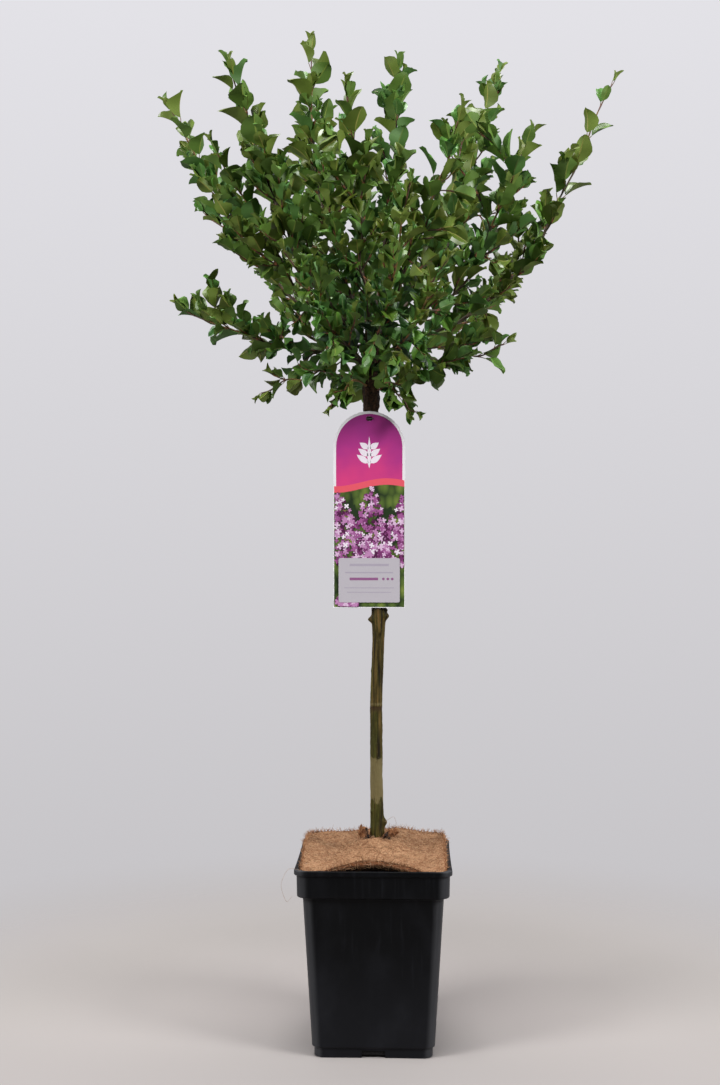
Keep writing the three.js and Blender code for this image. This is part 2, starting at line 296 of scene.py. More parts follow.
def closed_faces(rings, around):
    """The same quads, and the triangles from each end ring to a pole; the poles are the last two points."""
    count = rings * around
    ring = np.arange(around)
    after = np.roll(ring, -1)
    first = np.stack([np.full(around, count), after, ring], -1)
    last = np.stack([np.full(around, count + 1), ring + count - around, after + count - around], -1)
    return ring_faces(rings, around), np.vstack([first, last])


def closed_loft(levels):
    """A closed shape through rings of points, with a pole in the middle of its first and last ring."""
    levels = np.asarray(levels, float)
    poles = [levels[0].mean(0), levels[-1].mean(0)]
    return np.vstack([levels.reshape(-1, 3), poles]), closed_faces(*levels.shape[:2])


def ring_frames(line):
    """Two crosswise directions at each point of a line, which don't twist along it."""
    forward = unit(np.gradient(line, axis=0))
    start = np.cross(forward[0], (0.0, 1.0, 0.0))
    side = unit(start if np.linalg.norm(start) > 0.1 else np.cross(forward[0], (1.0, 0.0, 0.0)))
    sides = []
    for direction in forward:
        side = unit(side - direction * (side @ direction))
        sides.append(side)
    sides = np.array(sides)
    return sides, np.cross(forward, sides)


def tube(line, radii, around):
    """Points of a tube with a pole at each end; radii is one number a ring or one a point."""
    side, up = ring_frames(line)
    angle = np.arange(around) * 2 * np.pi / around
    radii = np.broadcast_to(np.reshape(radii, (len(line), -1)), (len(line), around))
    out = np.cos(angle)[None, :, None] * side[:, None] + np.sin(angle)[None, :, None] * up[:, None]
    rings = line[:, None] + out * radii[..., None]
    return np.vstack([rings.reshape(-1, 3), line[:1], line[-1:]])


class Bundle:
    """Many tubes gathered into one piece."""

    def __init__(self):
        self.points, self.quads, self.ends = [], [], []
        self.quad_slots, self.end_slots, self.grain = [], [], []
        self.count = 0

    def add(self, line, radii, around, slots, grain=None):
        """Adds a tube; slots gives the material of each stretch between two rings."""
        quads, ends = closed_faces(len(line), around)
        self.points.append(tube(line, radii, around))
        self.quads.append(quads + self.count)
        self.ends.append(ends + self.count)
        self.quad_slots.append(np.repeat(slots, around))
        self.end_slots.append(np.repeat([slots[0], slots[-1]], around))
        if grain is not None:
            self.grain.append(grain)
        self.count += len(self.points[-1])

    def piece(self, name, materials, crease=50):
        faces = [np.vstack(self.quads), np.vstack(self.ends)]
        slots = np.concatenate(self.quad_slots + self.end_slots)
        grain = np.vstack(self.grain) if self.grain else None
        return mesh_piece(name, np.vstack(self.points), faces, materials, slots, crease, grain)


# %% [markdown]
# ## The pot
# A nursery pot is blown or moulded in thin black plastic: a square tub that widens upwards, a deep collar,
# a lip and a notch in each side of the foot for the water. Nothing on it is sharp, so the wall is a loft of
# rounded squares along a rounded profile, up the outside, over the lip and down the inside. The notches
# are cut by a Boolean, because they cross the corner of foot and floor.

# %% The pot's profile
pot_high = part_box("pot")[1]
POT_LIP = pot_high.x
POT_HEIGHT = pot_high.z
POT_COLLAR = POT_LIP - 0.003
POT_BODY_TOP = POT_COLLAR - 0.006
POT_BODY_FOOT = 0.068
POT_FOOT = 0.0655
POT_WALL = 0.002
POT_FLOOR = 0.0025
POT_CORNER = 0.011
COLLAR_FROM = 0.181
LIP_FROM = POT_HEIGHT - 0.005

# half width, height and how far the edge there is rounded: up the outside, then down the inside
POT_EDGES = [
    (POT_FOOT, 0.0, 0.0012),
    (POT_FOOT, 0.0100, 0.0008),
    (POT_BODY_FOOT, 0.0120, 0.0012),
    (POT_BODY_TOP, COLLAR_FROM - 0.002, 0.0012),
    (POT_COLLAR, COLLAR_FROM, 0.0016),
    (POT_COLLAR + 0.0004, LIP_FROM - 0.001, 0.0006),
    (POT_LIP, LIP_FROM, 0.0009),
    (POT_LIP, POT_HEIGHT, 0.0010),
    (POT_COLLAR - POT_WALL, POT_HEIGHT, 0.0010),
    (POT_COLLAR - POT_WALL, COLLAR_FROM + 0.002, 0.0012),
    (POT_BODY_TOP - POT_WALL, COLLAR_FROM, 0.0012),
    (POT_FOOT - POT_WALL, POT_FLOOR, 0.0015),
]


def rounded_profile(edges, steps=4):
    """The edges of a profile, each turned into a short curve."""
    places = np.array([edge[:2] for edge in edges])
    found = []
    for i, (half, height, radius) in enumerate(edges):
        here = places[i]
        before = places[i - 1] if i else np.array([0.0, height])
        after = places[i + 1] if i + 1 < len(edges) else np.array([0.0, height])
        start = here + unit(before - here) * radius
        end = here + unit(after - here) * radius
        for share in np.linspace(0, 1, steps + 1):
            found.append((1 - share) ** 2 * start + 2 * share * (1 - share) * here + share**2 * end)
    return np.array(found)


pot_profile = rounded_profile(POT_EDGES)
print("pot profile:", len(pot_profile), "levels")

# %% The pot's wall and its notches
SIDE_BOW = 0.0006
NOTCH_WIDTH = 0.026
NOTCH_HEIGHT = 0.008
NOTCH_DEPTH = 0.004


def quarter_turns():
    """The cosine and sine of each of four quarter turns."""
    return [(math.cos(turn * math.pi / 2), math.sin(turn * math.pi / 2)) for turn in range(4)]


def rounded_square(half, height, radius, side=8, arc=8, bow=0.0):
    """A ring of points; bow draws each side in at its middle, as cooling plastic does."""
    flat = half - radius
    quarter = [(half - bow * (1 - share**2), flat * share)
               for share in np.linspace(-1, 1, side, endpoint=False)]
    quarter += [(flat + radius * math.cos(angle), flat + radius * math.sin(angle))
                for angle in np.linspace(0, math.pi / 2, arc, endpoint=False)]
    return [(c * x - s * y, s * x + c * y, height) for c, s in quarter_turns() for x, y in quarter]


def cut_notches(piece):
    """Takes a notch out of the foot of each side with one Boolean."""
    points, quads = [], []
    for c, s in quarter_turns():
        base = len(points)
        for z in (-NOTCH_HEIGHT, NOTCH_HEIGHT):
            for x, y in ((0, -1), (1, -1), (1, 1), (0, 1)):
                out = POT_FOOT - NOTCH_DEPTH + x * 2 * NOTCH_DEPTH
                across = y * NOTCH_WIDTH / 2
                points.append((c * out - s * across, s * out + c * across, z))
        for face in ((0, 3, 2, 1), (4, 5, 6, 7), (0, 1, 5, 4), (1, 2, 6, 5), (2, 3, 7, 6), (3, 0, 4, 7)):
            quads.append([base + corner for corner in face])
    cutter = mesh_piece("notch_cutter", np.array(points), [np.array(quads)], [])
    cut = piece.modifiers.new("notches", "BOOLEAN")
    cut.object = cutter
    cut.operation = "DIFFERENCE"
    cut.solver = "EXACT"
    graph = bpy.context.evaluated_depsgraph_get()
    piece.data = bpy.data.meshes.new_from_object(piece.evaluated_get(graph), depsgraph=graph)
    piece.modifiers.remove(cut)
    bpy.data.objects.remove(cutter)


# %% [markdown]
# The plastic is black with a soft shine. What keeps it from looking like a hole is its handling, a faint
# dust and fine upright scratches, a fine orange-peel skin, and painted light: a paler painted sheen towards
# the foot, mixed into the dust, and paler corners that are a painted reflection of the side lights. Inside
# the notches the plastic is painted black, as painted shade, because no light gets in there.

# %% Black plastic
plastic = Finish("pot_plastic", (13, 13, 14), 0.42, specular_ior_level=0.09)
dust = plastic.cloud(plastic.place((1, 1, 0.6)), 26.0, 5.0)
# Paler towards the foot: a painted sheen, which also rides on the dust there.
painted_foot_sheen = 1 - plastic.along("Z").between(0.02, 0.14)
dust_and_foot_sheen = dust.between(0.45, 0.8) * 0.5 + painted_foot_sheen * dust * 0.5
scratches = plastic.cloud(plastic.place((1, 1, 0.05)), 240.0, 3.0)
side_x, side_y = abs(plastic.along("X")), abs(plastic.along("Y"))
ratio = side_x.least(side_y) / side_x.most(side_y)
# The paler corners are a painted reflection of the side lights, streaked by the scratches.
painted_corner_reflection = ratio.between(0.83, 0.94) * (scratches * 0.5 + 0.35)
marks_and_foot_sheen = (dust_and_foot_sheen * 0.5 + painted_foot_sheen * 0.22).most(scratches.between(0.5, 0.8) * 0.35)
plain = plastic.mix(painted_corner_reflection, plastic.mix(marks_and_foot_sheen, (8, 9, 11), (39, 40, 45)), (70, 71, 74))
# The cut faces of the notches are painted black: painted shade, since no light gets in there.
notch_side = side_x.least(side_y).between(NOTCH_WIDTH / 2 - 0.0004, NOTCH_WIDTH / 2 + 0.0004)
notch_top = plastic.along("Z").between(NOTCH_HEIGHT - 0.0002, NOTCH_HEIGHT + 0.0004)
plastic.set("Base Color", plastic.mix(notch_side.most(notch_top), (1, 1, 1), plain))
plastic.set("Roughness", plastic.cloud(plastic.place(), 9.0, 6.0) * 0.22 + dust_and_foot_sheen * 0.2 + 0.26)
plastic.bump(plastic.cloud(plastic.place(), 900.0, 2.0) * 0.5 + dust, 0.0001, 0.35)

pot_levels = [rounded_square(half, height, POT_CORNER, bow=SIDE_BOW) for half, height in pot_profile]
pot = mesh_piece("pot_tub", *closed_loft(pot_levels), [plastic.material])
cut_notches(pot)
pot.data.set_sharp_from_angle(angle=math.radians(40))
finished(pot, "pot", "pot")

# %% [markdown]
# ## Soil
# The soil shows only in the dark gap under the mat and through the notches. Its solid has the right shape,
# so it stays, with a finish of dark crumbs and a few paler specks. At its foot it is painted as good as
# black, as painted shade, so that the notches look as deep as they are.

# %% Dark crumbs
earth = Finish("soil_crumbs", (38, 29, 22), 0.95)
crumbs = earth.cells(earth.place(), 420.0)
specks = earth.cloud(earth.place(), 700.0, 2.0).between(0.62, 0.72)
dry = earth.mix(specks, earth.ramp(crumbs, (0.0, (30, 23, 17)), (0.7, (12, 9, 7))), (58, 46, 34))
# Low down the soil is painted nearly black: painted shade behind the notches.
earth.set("Base Color", earth.mix(earth.along("Z").between(0.012, 0.020), (4, 3, 3), dry))
earth.bump(1 - crumbs, 0.002, 0.8)
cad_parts["soil"].material_slots[0].material = earth.material
print("soil: own solid, finish", earth.material.name)

# %% [markdown]
# ## The coir mat
# A mat of coconut fibre keeps weeds off the soil. It is a springy felt, so it never lies flat: it arches
# at its edges, lifts at the back, folds up behind the stem, mounds up round it, and stands open in two
# lips at its slit. The felt is a closed sheet that follows the same arch and mound as its solid, with
# lumps of two sizes on it.

# %% The felt
mat_low, mat_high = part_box("coir_mat")
MAT_HALF = mat_high.x
MAT_UNDER = mat_low.z + 0.001
MAT_THICK = 0.009
MAT_EDGE_THIN = 0.0042
MAT_EDGE_RISE = 0.0160
MAT_BACK_RISE = 0.0125
MAT_MOUND = 0.024
MAT_MOUND_REACH = 0.034
MAT_MOUND_X = 0.004
FOLD_X = 0.024
FOLD_RISE = 0.0085
FOLD_LEFT, FOLD_RIGHT = 0.009, 0.032
RIPPLE = 0.0015
RIPPLE_LENGTH = 0.012
LUMPS = ((70, 0.3, 0.0011), (300, 5.1, 0.0005))


def mat_under(x, y):
    """The mat's underside: flat on the soil, arched at each edge, lifted and folded at the back."""
    edge = max(abs(x), abs(y)) / MAT_HALF
    along = x if abs(y) > abs(x) else y
    middle = math.cos(math.pi / 2 * along / MAT_HALF) ** 2
    corner = MAT_BACK_RISE if y > 0 else 0.0
    arch = edge**4 * (MAT_EDGE_RISE * middle + corner * (1 - middle))
    ripple = RIPPLE * math.sin(x / RIPPLE_LENGTH + 1) * math.sin(y / RIPPLE_LENGTH)
    wide = FOLD_RIGHT if x > FOLD_X else FOLD_LEFT
    fold = FOLD_RISE * math.exp(-(((x - FOLD_X) / wide) ** 2)) * float(np.clip(y / 0.03, 0, 1))
    return MAT_UNDER + arch + fold * (1 - 0.7 * edge**4) + ripple


def mat_top(x, y):
    mound = MAT_MOUND * math.exp(-((math.hypot(x - MAT_MOUND_X, y) / MAT_MOUND_REACH) ** 2))
    lumps = sum(noise.noise((x * count, y * count, seed)) * tall for count, seed, tall in LUMPS)
    edge = max(abs(x), abs(y)) / MAT_HALF
    return mat_under(x, y) + MAT_THICK - MAT_EDGE_THIN * edge**6 + mound + lumps


def mat_ring(share, height, ragged=0.0):
    """A ring of the mat at a share of its half width; height(x, y) gives its level."""
    ring = []
    for x, y, _ in rounded_square(MAT_HALF * share, 0, POT_CORNER * share, side=36, arc=12):
        pull = 1 - ragged * abs(noise.noise((x * 260, y * 260, height(x, y) * 400))) / MAT_HALF
        ring.append((x * pull, y * pull, height(x, y)))
    return ring


MAT_RINGS = 54
EDGE_LEVELS = 4
EDGE_RAGGED = 0.003
EDGE_ROUNDED = 0.0008


def edge_height(rise):
    """The height of the mat's cut edge at a share of the way up."""
    return lambda x, y: mat_under(x, y) * (1 - rise) + (mat_top(x, y) - EDGE_ROUNDED) * rise


shares = np.linspace(0.02, 0.995, MAT_RINGS)
under_rings = [mat_ring(share, mat_under) for share in shares[::3]]
edge_rings = [mat_ring(1.0, edge_height(rise), EDGE_RAGGED) for rise in np.linspace(0, 1, EDGE_LEVELS + 1)]
mat_levels = under_rings + edge_rings + [mat_ring(share, mat_top) for share in shares[::-1]]
print("mat:", len(mat_levels), "rings of", len(mat_levels[0]), "points")

# %% [markdown]
# Coir felt is tan on top and darker brown wherever its cut edge shows. A fine stretched cloud of noise
# gives the crossing threads between the loose fibres. The slit beside the stem is painted nearly black, and
# so is the underside, which lies in its own shadow: both are painted shade.

# %% Felt of crossing threads
felt = Finish("coir_felt", (190, 152, 114), 0.95)
threads_one = felt.cloud(felt.place((1, 0.22, 1)), 620.0, 3.0)
threads_two = felt.cloud(felt.place((0.2, 1, 1)), 680.0, 3.0)
threads = threads_one.most(threads_two)
patches = felt.cloud(felt.place(), 55.0, 4.0)
near_edge = abs(felt.along("X")).most(abs(felt.along("Y"))).between(MAT_HALF - 0.0022, MAT_HALF - 0.0004)
TOP_FELT = ((0.34, (88, 56, 34)), (0.50, (136, 96, 65)), (0.68, (173, 133, 98)))
top_felt = felt.ramp(threads * 0.75 + patches * 0.35, *TOP_FELT)
raw_edge = felt.ramp(threads, (0.38, (44, 26, 16)), (0.60, (150, 94, 58)))
SLIT_X = MAT_MOUND_X - 0.001
# The slit beside the stem is painted nearly black: painted shade.
beside_stem = 1 - abs(felt.along("X") - SLIT_X).between(0.0135, 0.0165)
slit_painted_shade = beside_stem * (1 - abs(felt.along("Y") + threads * 0.004).between(0.004, 0.0075))
felt.set("Base Color", felt.mix(slit_painted_shade, felt.mix(near_edge, top_felt, raw_edge), (20, 13, 8)))
felt.bump(threads, 0.0012, 0.8)
# The underside is painted nearly black: painted shade, where the felt lies in its own shadow.
felt_under = Finish("coir_felt_under", (10, 7, 5), 0.95)

mat_points, mat_faces = closed_loft(mat_levels)
mat_slots = np.zeros(sum(map(len, mat_faces)))
mat_around = len(mat_levels[0])
mat_slots[: mat_around * (len(under_rings) - 1)] = 1
mat_slots[len(mat_faces[0]): len(mat_faces[0]) + mat_around] = 1
mat = mesh_piece("coir_felt", mat_points, mat_faces, [felt.material, felt_under.material], mat_slots, 60)
print("felt:", len(mat_points), "points")

# %% The two lips of the slit
LIP_THICK = 0.0016
LIP_LEVELS = 12
LIP_AROUND = 40
LIP_SUNK = 0.004


def slit_lip(name, middle_x, width, high, lean, turn):
    """A flap of felt that stands up beside the stem and curls away from it."""
    c, s = math.cos(turn), math.sin(turn)
    levels = []
    for rise in np.linspace(0, 1, LIP_LEVELS):
        ring = []
        for angle in np.arange(LIP_AROUND) * 2 * math.pi / LIP_AROUND:
            along, thick = math.cos(angle), math.sin(angle)
            ragged = noise.noise((along * 3.1, rise * 2.0, middle_x * 900))
            tall = high * (1 - 0.30 * along**2 + 0.5 * ragged)
            out = lean * rise**2 + thick * LIP_THICK * (1 - 0.45 * rise) + 0.0008 * ragged
            x = middle_x + c * out - s * along * width
            y = s * out + c * along * width
            ring.append((x, y, mat_top(x, y) - LIP_SUNK + tall * rise))
        levels.append(ring)
    return finished(mesh_piece(name, *closed_loft(levels), [lip_finish.material], crease=60), "coir")


lip_finish = Finish("coir_lip", (140, 92, 58), 0.95)
lip_threads = lip_finish.cloud(lip_finish.place((1, 1, 0.25)), 700.0, 3.0)
LIP_BROWN = ((0.36, (84, 50, 32)), (0.52, (140, 92, 58)), (0.68, (190, 142, 98)))
lip_colour = lip_finish.ramp(lip_threads, *LIP_BROWN)
# The faces of the lips towards the stem are painted dark: painted shade in the slit.
lip_inside_painted_shade = 1 - abs(lip_finish.along("X") - SLIT_X).between(0.0115, 0.0150)
lip_finish.set("Base Color", lip_finish.mix(lip_inside_painted_shade, lip_colour, (26, 16, 10)))
lip_finish.bump(lip_threads, 0.0012, 0.8)
left_lip = slit_lip("coir_lip_left", -0.0105, 0.010, 0.0165, -0.0035, 0.6)
right_lip = slit_lip("coir_lip_right", 0.0155, 0.013, 0.0150, 0.0060, -0.6)

# %% [markdown]
# ## Loose fibres
# What makes felt look like felt is the fuzz of single fibres that curl out of it. They repeat thousands of
# times over a surface, so Geometry Nodes scatter them: points spread over the felt, a short curved thread
# put on each point, turned at random and tipped up a little, and everything made real at the end.

# %% A tree that scatters fibres


class Tree(Circuit):
    """A Geometry Nodes tree with named inputs."""

    def __init__(self, name, **inputs):
        super().__init__(bpy.data.node_groups.new(name, "GeometryNodeTree"))
        sockets = self.tree.interface
        sockets.new_socket("Geometry", in_out="INPUT", socket_type="NodeSocketGeometry")
        for label, kind in inputs.items():
            sockets.new_socket(label, in_out="INPUT", socket_type="NodeSocket" + kind)
        sockets.new_socket("Geometry", in_out="OUTPUT", socket_type="NodeSocketGeometry")
        given = self.tree.nodes.new("NodeGroupInput").outputs
        self.inputs = {socket.name: Wire(self, socket) for socket in given}
        self.result = self.tree.nodes.new("NodeGroupOutput").inputs[0]


THREAD_CURVE = {"Start": (-0.5, 0, -0.05), "Middle": (0.0, 0.3, 0.14), "End": (0.5, 0, 0.02)}
THREAD_STEPS = 4
FIBRE_TIP_UP = 0.75
FIBRE_SHORTEST, FIBRE_LONGEST = 0.45, 1.4


def fibre_tree():
    numbers = {"Density": "Float", "Length": "Float", "Radius": "Float", "Seed": "Int"}
    tree = Tree("coir_fibres", **numbers, Colour="Material")
    given = tree.inputs
    spread = {"Mesh": given["Geometry"], "Density": given["Density"], "Seed": given["Seed"]}
    scatter = tree.node("GeometryNodeDistributePointsOnFaces", {}, spread)
    facing = Wire(tree, scatter.socket.node.outputs["Rotation"])
    bow = {**THREAD_CURVE, "Resolution": THREAD_STEPS}
    thread = tree.node("GeometryNodeCurveQuadraticBezier", {}, bow)
    circle = {"Resolution": 3, "Radius": given["Radius"]}
    section = tree.node("GeometryNodeCurvePrimitiveCircle", {}, circle)
    stretch = {0: (1.0, 1.0, 1.0), 3: given["Length"]}
    scale = tree.node("ShaderNodeVectorMath", {"operation": "SCALE"}, stretch)
    sized = tree.node("GeometryNodeTransform", {}, {"Geometry": thread, "Scale": scale})
    solid = tree.node("GeometryNodeCurveToMesh", {}, {0: sized, 1: section, "Fill Caps": True})
    most = (FIBRE_TIP_UP, FIBRE_TIP_UP, math.pi)
    limits = {0: tuple(-part for part in most), 1: most, "Seed": 3}
    turn = tree.node("FunctionNodeRandomValue", {"data_type": "FLOAT_VECTOR"}, limits)
    tipped = tree.node("FunctionNodeEulerToRotation", {}, {0: turn})
    faced = tree.node("FunctionNodeRotateRotation", {"rotation_space": "LOCAL"}, {0: facing, 1: tipped})
    lengths = {2: FIBRE_SHORTEST, 3: FIBRE_LONGEST, "Seed": 5}
    uneven = tree.node("FunctionNodeRandomValue", {"data_type": "FLOAT"}, lengths)
    placing = {"Points": scatter, "Instance": solid, "Rotation": faced, "Scale": uneven}
    placed = tree.node("GeometryNodeInstanceOnPoints", {}, placing)
    real = tree.node("GeometryNodeRealizeInstances", {}, {"Geometry": placed})
    tree.give(tree.result, tree.node("GeometryNodeSetMaterial", {}, {0: real, "Material": given["Colour"]}))
    return tree.tree


def scattered(name, carrier, group, **values):
    """Runs a tree on a copy of the carrier and keeps the result as a plain mesh of its own."""
    holder = bpy.data.objects.new(name, carrier.data)
    bpy.context.collection.objects.link(holder)
    step = holder.modifiers.new("scatter", "NODES")
    step.node_group = group
    for socket in group.interface.items_tree:
        if socket.in_out == "INPUT" and socket.name in values:
            step[socket.identifier] = values[socket.name]
    graph = bpy.context.evaluated_depsgraph_get()
    result = bpy.data.meshes.new_from_object(holder.evaluated_get(graph), depsgraph=graph)
    holder.modifiers.remove(step)
    holder.data = result
    return holder


# %% Fibres of the mat and its lips
fibre_group = fibre_tree()
lips = {"coir_lip_left_fibres": left_lip, "coir_lip_right_fibres": right_lip}
# name of the finish, pieces and what they grow on, colour, how many on a square metre, length, radius, seed
FIBRES = [
    ("pale", {"coir_fibres_pale": mat}, (186, 149, 112), 64000, 0.0075, 0.00016, 11),
    ("tan", {"coir_fibres_tan": mat}, (150, 106, 72), 60000, 0.0080, 0.00017, 12),
    ("brown", {"coir_fibres_brown": mat}, (104, 66, 42), 20000, 0.0055, 0.00015, 13),
    ("lip", lips, (156, 108, 72), 150000, 0.0060, 0.00016, 23),
]
for shade, carriers, colour, density, length, radius, seed in FIBRES:
    material = Finish(f"coir_fibre_{shade}", colour, 0.85).material
    sizes = {"Density": density, "Length": length, "Radius": radius, "Seed": seed, "Colour": material}
    for name, carrier in carriers.items():
        finished(scattered(name, carrier, fibre_group, **sizes), "coir")
finished(mat, "coir", "coir_mat")

# %% [markdown]
# The cut edge frays into a fringe of short hairs that stand up and out, and two long threads have worked
# loose: one hangs in a curl over the rim, the other loops beside the stem. They are thin tubes along
# lines of their own.

# %% The fringe and two loose threads
FRINGE_HAIRS = 2400
FRINGE_LONGEST = 0.0050
HAIR_POINTS = 4
THREAD_POINTS = 24
HAIR_RADIUS = 0.00014
LOOSE_THREADS = [
    [(-0.074, -0.078, 0.209), (-0.092, -0.086, 0.216), (-0.101, -0.088, 0.197), (-0.094, -0.086, 0.176),
     (-0.088, -0.087, 0.184)],
    [(0.020, 0.004, 0.230), (0.026, 0.000, 0.243), (0.022, -0.004, 0.256), (0.012, -0.008, 0.250)],
]
draw_hairs = np.random.default_rng(31)
hairs = Bundle()
border = np.array(edge_rings[-1])
for start in border[draw_hairs.integers(0, len(border), FRINGE_HAIRS)]:
    out = unit([start[0], start[1], 0.0])
    way = unit(out * draw_hairs.uniform(-0.3, 0.8) + [0, 0, 1] + draw_hairs.normal(0, 0.4, 3))
    bend = draw_hairs.normal(0, 0.35, 3)
    long = FRINGE_LONGEST * draw_hairs.uniform(0.3, 1.0)
    share = np.linspace(0, 1, HAIR_POINTS)[:, None]
    line = start + long * (share * way + share**2 * bend)
    hairs.add(line, [HAIR_RADIUS] * HAIR_POINTS, 3, [draw_hairs.integers(0, 2)] * (HAIR_POINTS - 1))
for thread in LOOSE_THREADS:
    knots = np.array(thread)
    steps = np.linspace(0, len(knots) - 1, THREAD_POINTS)
    line = np.stack([np.interp(steps, np.arange(len(knots)), knots[:, axis]) for axis in range(3)], 1)
    for _ in range(3):
        line[1:-1] = (line[:-2] + 2 * line[1:-1] + line[2:]) / 4
    hairs.add(line, [HAIR_RADIUS] * THREAD_POINTS, 4, [2] * (THREAD_POINTS - 1))
hair_materials = plain_finishes("coir_hair", [(182, 136, 98), (138, 94, 60), (150, 122, 96)], 0.85)
finished(hairs.piece("coir_fringe", hair_materials), "coir")

# %% [markdown]
# ## The stem
# The stem is an old shoot of another lilac on which the bush was grafted. Its bark is thin, with fine
# upright ridges, a few buds and scars, a spur at half height and a rough swelling at the graft. A mesh
# fine enough to hold that relief replaces the solid: rings of points up the solid's own line, each point
# pushed out or in by the ridges and by a short list of marks.

# %% The stem's line
STEM_AROUND = 84
STEM_STEP = 0.0013
STEM_SMOOTH = 0.004
WINDOW_STEPS = 12
BARK_INSET = 0.0003

stem_corners = node_points("stem")
stem_levels = np.unique(stem_corners[:, 2].round(4))
stem_rings = [stem_corners[abs(stem_corners[:, 2] - level) < 0.0002] for level in stem_levels]
stem_middle = np.array([ring.mean(0) for ring in stem_rings])
stem_radius = np.array([(np.ptp(ring[:, 0]) + np.ptp(ring[:, 1])) / 4 for ring in stem_rings])
stem_heights = np.arange(stem_levels[0], stem_levels[-1], STEM_STEP)
window = np.exp(-((np.arange(-WINDOW_STEPS, WINDOW_STEPS + 1) * STEM_STEP / STEM_SMOOTH) ** 2))


def smoothed(values):
    """Values at the solid's levels, carried over to the fine levels and evened out."""
    padded = np.pad(np.interp(stem_heights, stem_levels, values), WINDOW_STEPS, mode="edge")
    return np.convolve(padded, window / window.sum(), mode="valid")


stem_line = np.stack([smoothed(stem_middle[:, 0]), smoothed(stem_middle[:, 1]), stem_heights], 1)
stem_wide = smoothed(stem_radius)
print("stem:", len(stem_line), "rings, widest", round(2000 * stem_wide.max(), 1), "mm")

# %% Its marks and ridges
# height, side in degrees (-90 is the front), how far it stands out, half height and half width in degrees
STEM_MARKS = [
    (0.248, -5, 0.0040, 0.0045, 28),
    (0.261, 215, 0.0016, 0.0022, 16),
    (0.318, 225, -0.0007, 0.0035, 16),
    (0.341, 40, 0.0009, 0.0030, 22),
    (0.382, -60, 0.0008, 0.0016, 24),
    (0.382, -120, 0.0009, 0.0016, 20),
    (0.382, 70, 0.0008, 0.0016, 24),
    (0.421, 150, 0.0008, 0.0030, 24),
    (0.459, -75, -0.0013, 0.0050, 20),
    (0.479, 188, 0.0048, 0.0034, 26),
    (0.483, -12, 0.0042, 0.0042, 32),
    (0.490, -8, 0.0022, 0.0022, 16),
    (0.548, 60, 0.0010, 0.0030, 24),
    (0.610, -100, 0.0008, 0.0026, 22),
    (0.668, 120, 0.0010, 0.0030, 24),
    (0.716, 200, 0.0016, 0.0050, 40),
    (0.722, -40, 0.0016, 0.0040, 36),
    (0.741, -130, 0.0014, 0.0040, 30),
    (0.760, 20, 0.0014, 0.0050, 34),
]
# how many round the stem, how tall, and how fast they wander with the height
RIDGES = [(5, 0.00022, 9.0), (9, 0.00018, 17.0), (14, 0.00012, 31.0)]
GRAFT = (0.708, 0.772)


def stem_relief(height, angle):
    """How far the bark stands out there, in metres."""
    lift = 0.0
    for count, tall, drift in RIDGES:
        wander = 4.4 * noise.noise((count * 3.7, height * drift, 0.0))
        lift += tall * math.sin(count * angle + wander)
    for level, side, out, half_tall, half_wide in STEM_MARKS:
        turn = (angle - math.radians(side) + math.pi) % (2 * math.pi) - math.pi
        far = ((height - level) / half_tall) ** 2 + (turn / math.radians(half_wide)) ** 2
        if far < 9:
            lift += out * math.exp(-far)
    x, y = math.cos(angle) * 2.2, math.sin(angle) * 2.2
    rough = noise.noise((x, y, height * 260)) * 0.00022 + noise.noise((x, y, height * 55)) * 0.00035
    if GRAFT[0] < height < GRAFT[1]:
        rough += noise.noise((x * 1.6, y * 1.6, height * 190)) * 0.0011
    return lift + rough


def stem_ring(x, y, z, wide):
    turns = np.arange(STEM_AROUND) * 2 * np.pi / STEM_AROUND
    out = [wide - BARK_INSET + stem_relief(z, turn) for turn in turns]
    return [(x + r * math.cos(t), y + r * math.sin(t), z) for r, t in zip(out, turns)]


bark_rings = [stem_ring(*middle, wide) for middle, wide in zip(stem_line, stem_wide)]
print("marks on the stem:", len(STEM_MARKS))

# %% [markdown]
# Young lilac bark is a thin grey-brown skin over green. It is olive where the green shows through, with
# upright streaks, a paler sleeve low down where the skin has peeled, small pale pores, and a dark rough
# band at the graft. Each place is a soft step in height, so the bands keep their heights on any side.

# %% Bark of the stem
bark = Finish("stem_bark", (66, 60, 32), 0.8, specular_ior_level=0.15)
height = bark.along("Z")
streaks = bark.cloud(bark.place((1, 1, 0.07)), 330.0, 4.0)
broad = bark.cloud(bark.place((1, 1, 0.16)), 120.0, 3.0)
ragged = bark.cloud(bark.place((1, 1, 0.5)), 190.0, 2.0) * 0.022
BROWN = ((0.36, (30, 22, 10)), (0.49, (64, 54, 22)), (0.60, (92, 76, 36)), (0.72, (122, 90, 54)))
green = bark.ramp(streaks, (0.34, (34, 34, 12)), (0.56, (66, 64, 24)), (0.74, (92, 90, 40)))
skin = bark.mix(broad.between(0.40, 0.60), bark.ramp(streaks, *BROWN), green)
sleeve_edge = height + ragged
sleeve = sleeve_edge.between(0.282, 0.286) * (1 - sleeve_edge.between(0.330, 0.333))
toward_right = (bark.along("X") + ragged * 0.2).between(-0.0045, -0.0020)
peeled = bark.ramp(broad, (0.3, (100, 90, 58)), (0.7, (126, 114, 78)))
skin = bark.mix(sleeve * toward_right * 0.85, skin, peeled)
collar = height.between(0.3812, 0.3822) * (1 - height.between(0.3838, 0.3850))
skin = bark.mix(collar * streaks.between(0.44, 0.60) * 0.45, skin, (122, 110, 78))
under_collar = height.between(0.372, 0.379) * (1 - height.between(0.3800, 0.3812))
skin = bark.mix(under_collar * 0.75, skin, (56, 40, 26))
pores = bark.cells(bark.place((1, 1, 0.6)), 300.0)
skin = bark.mix((1 - pores.between(0.08, 0.16)) * 0.4, skin, (116, 104, 76))
above_spur = (height + ragged * 0.5).between(0.478, 0.512)
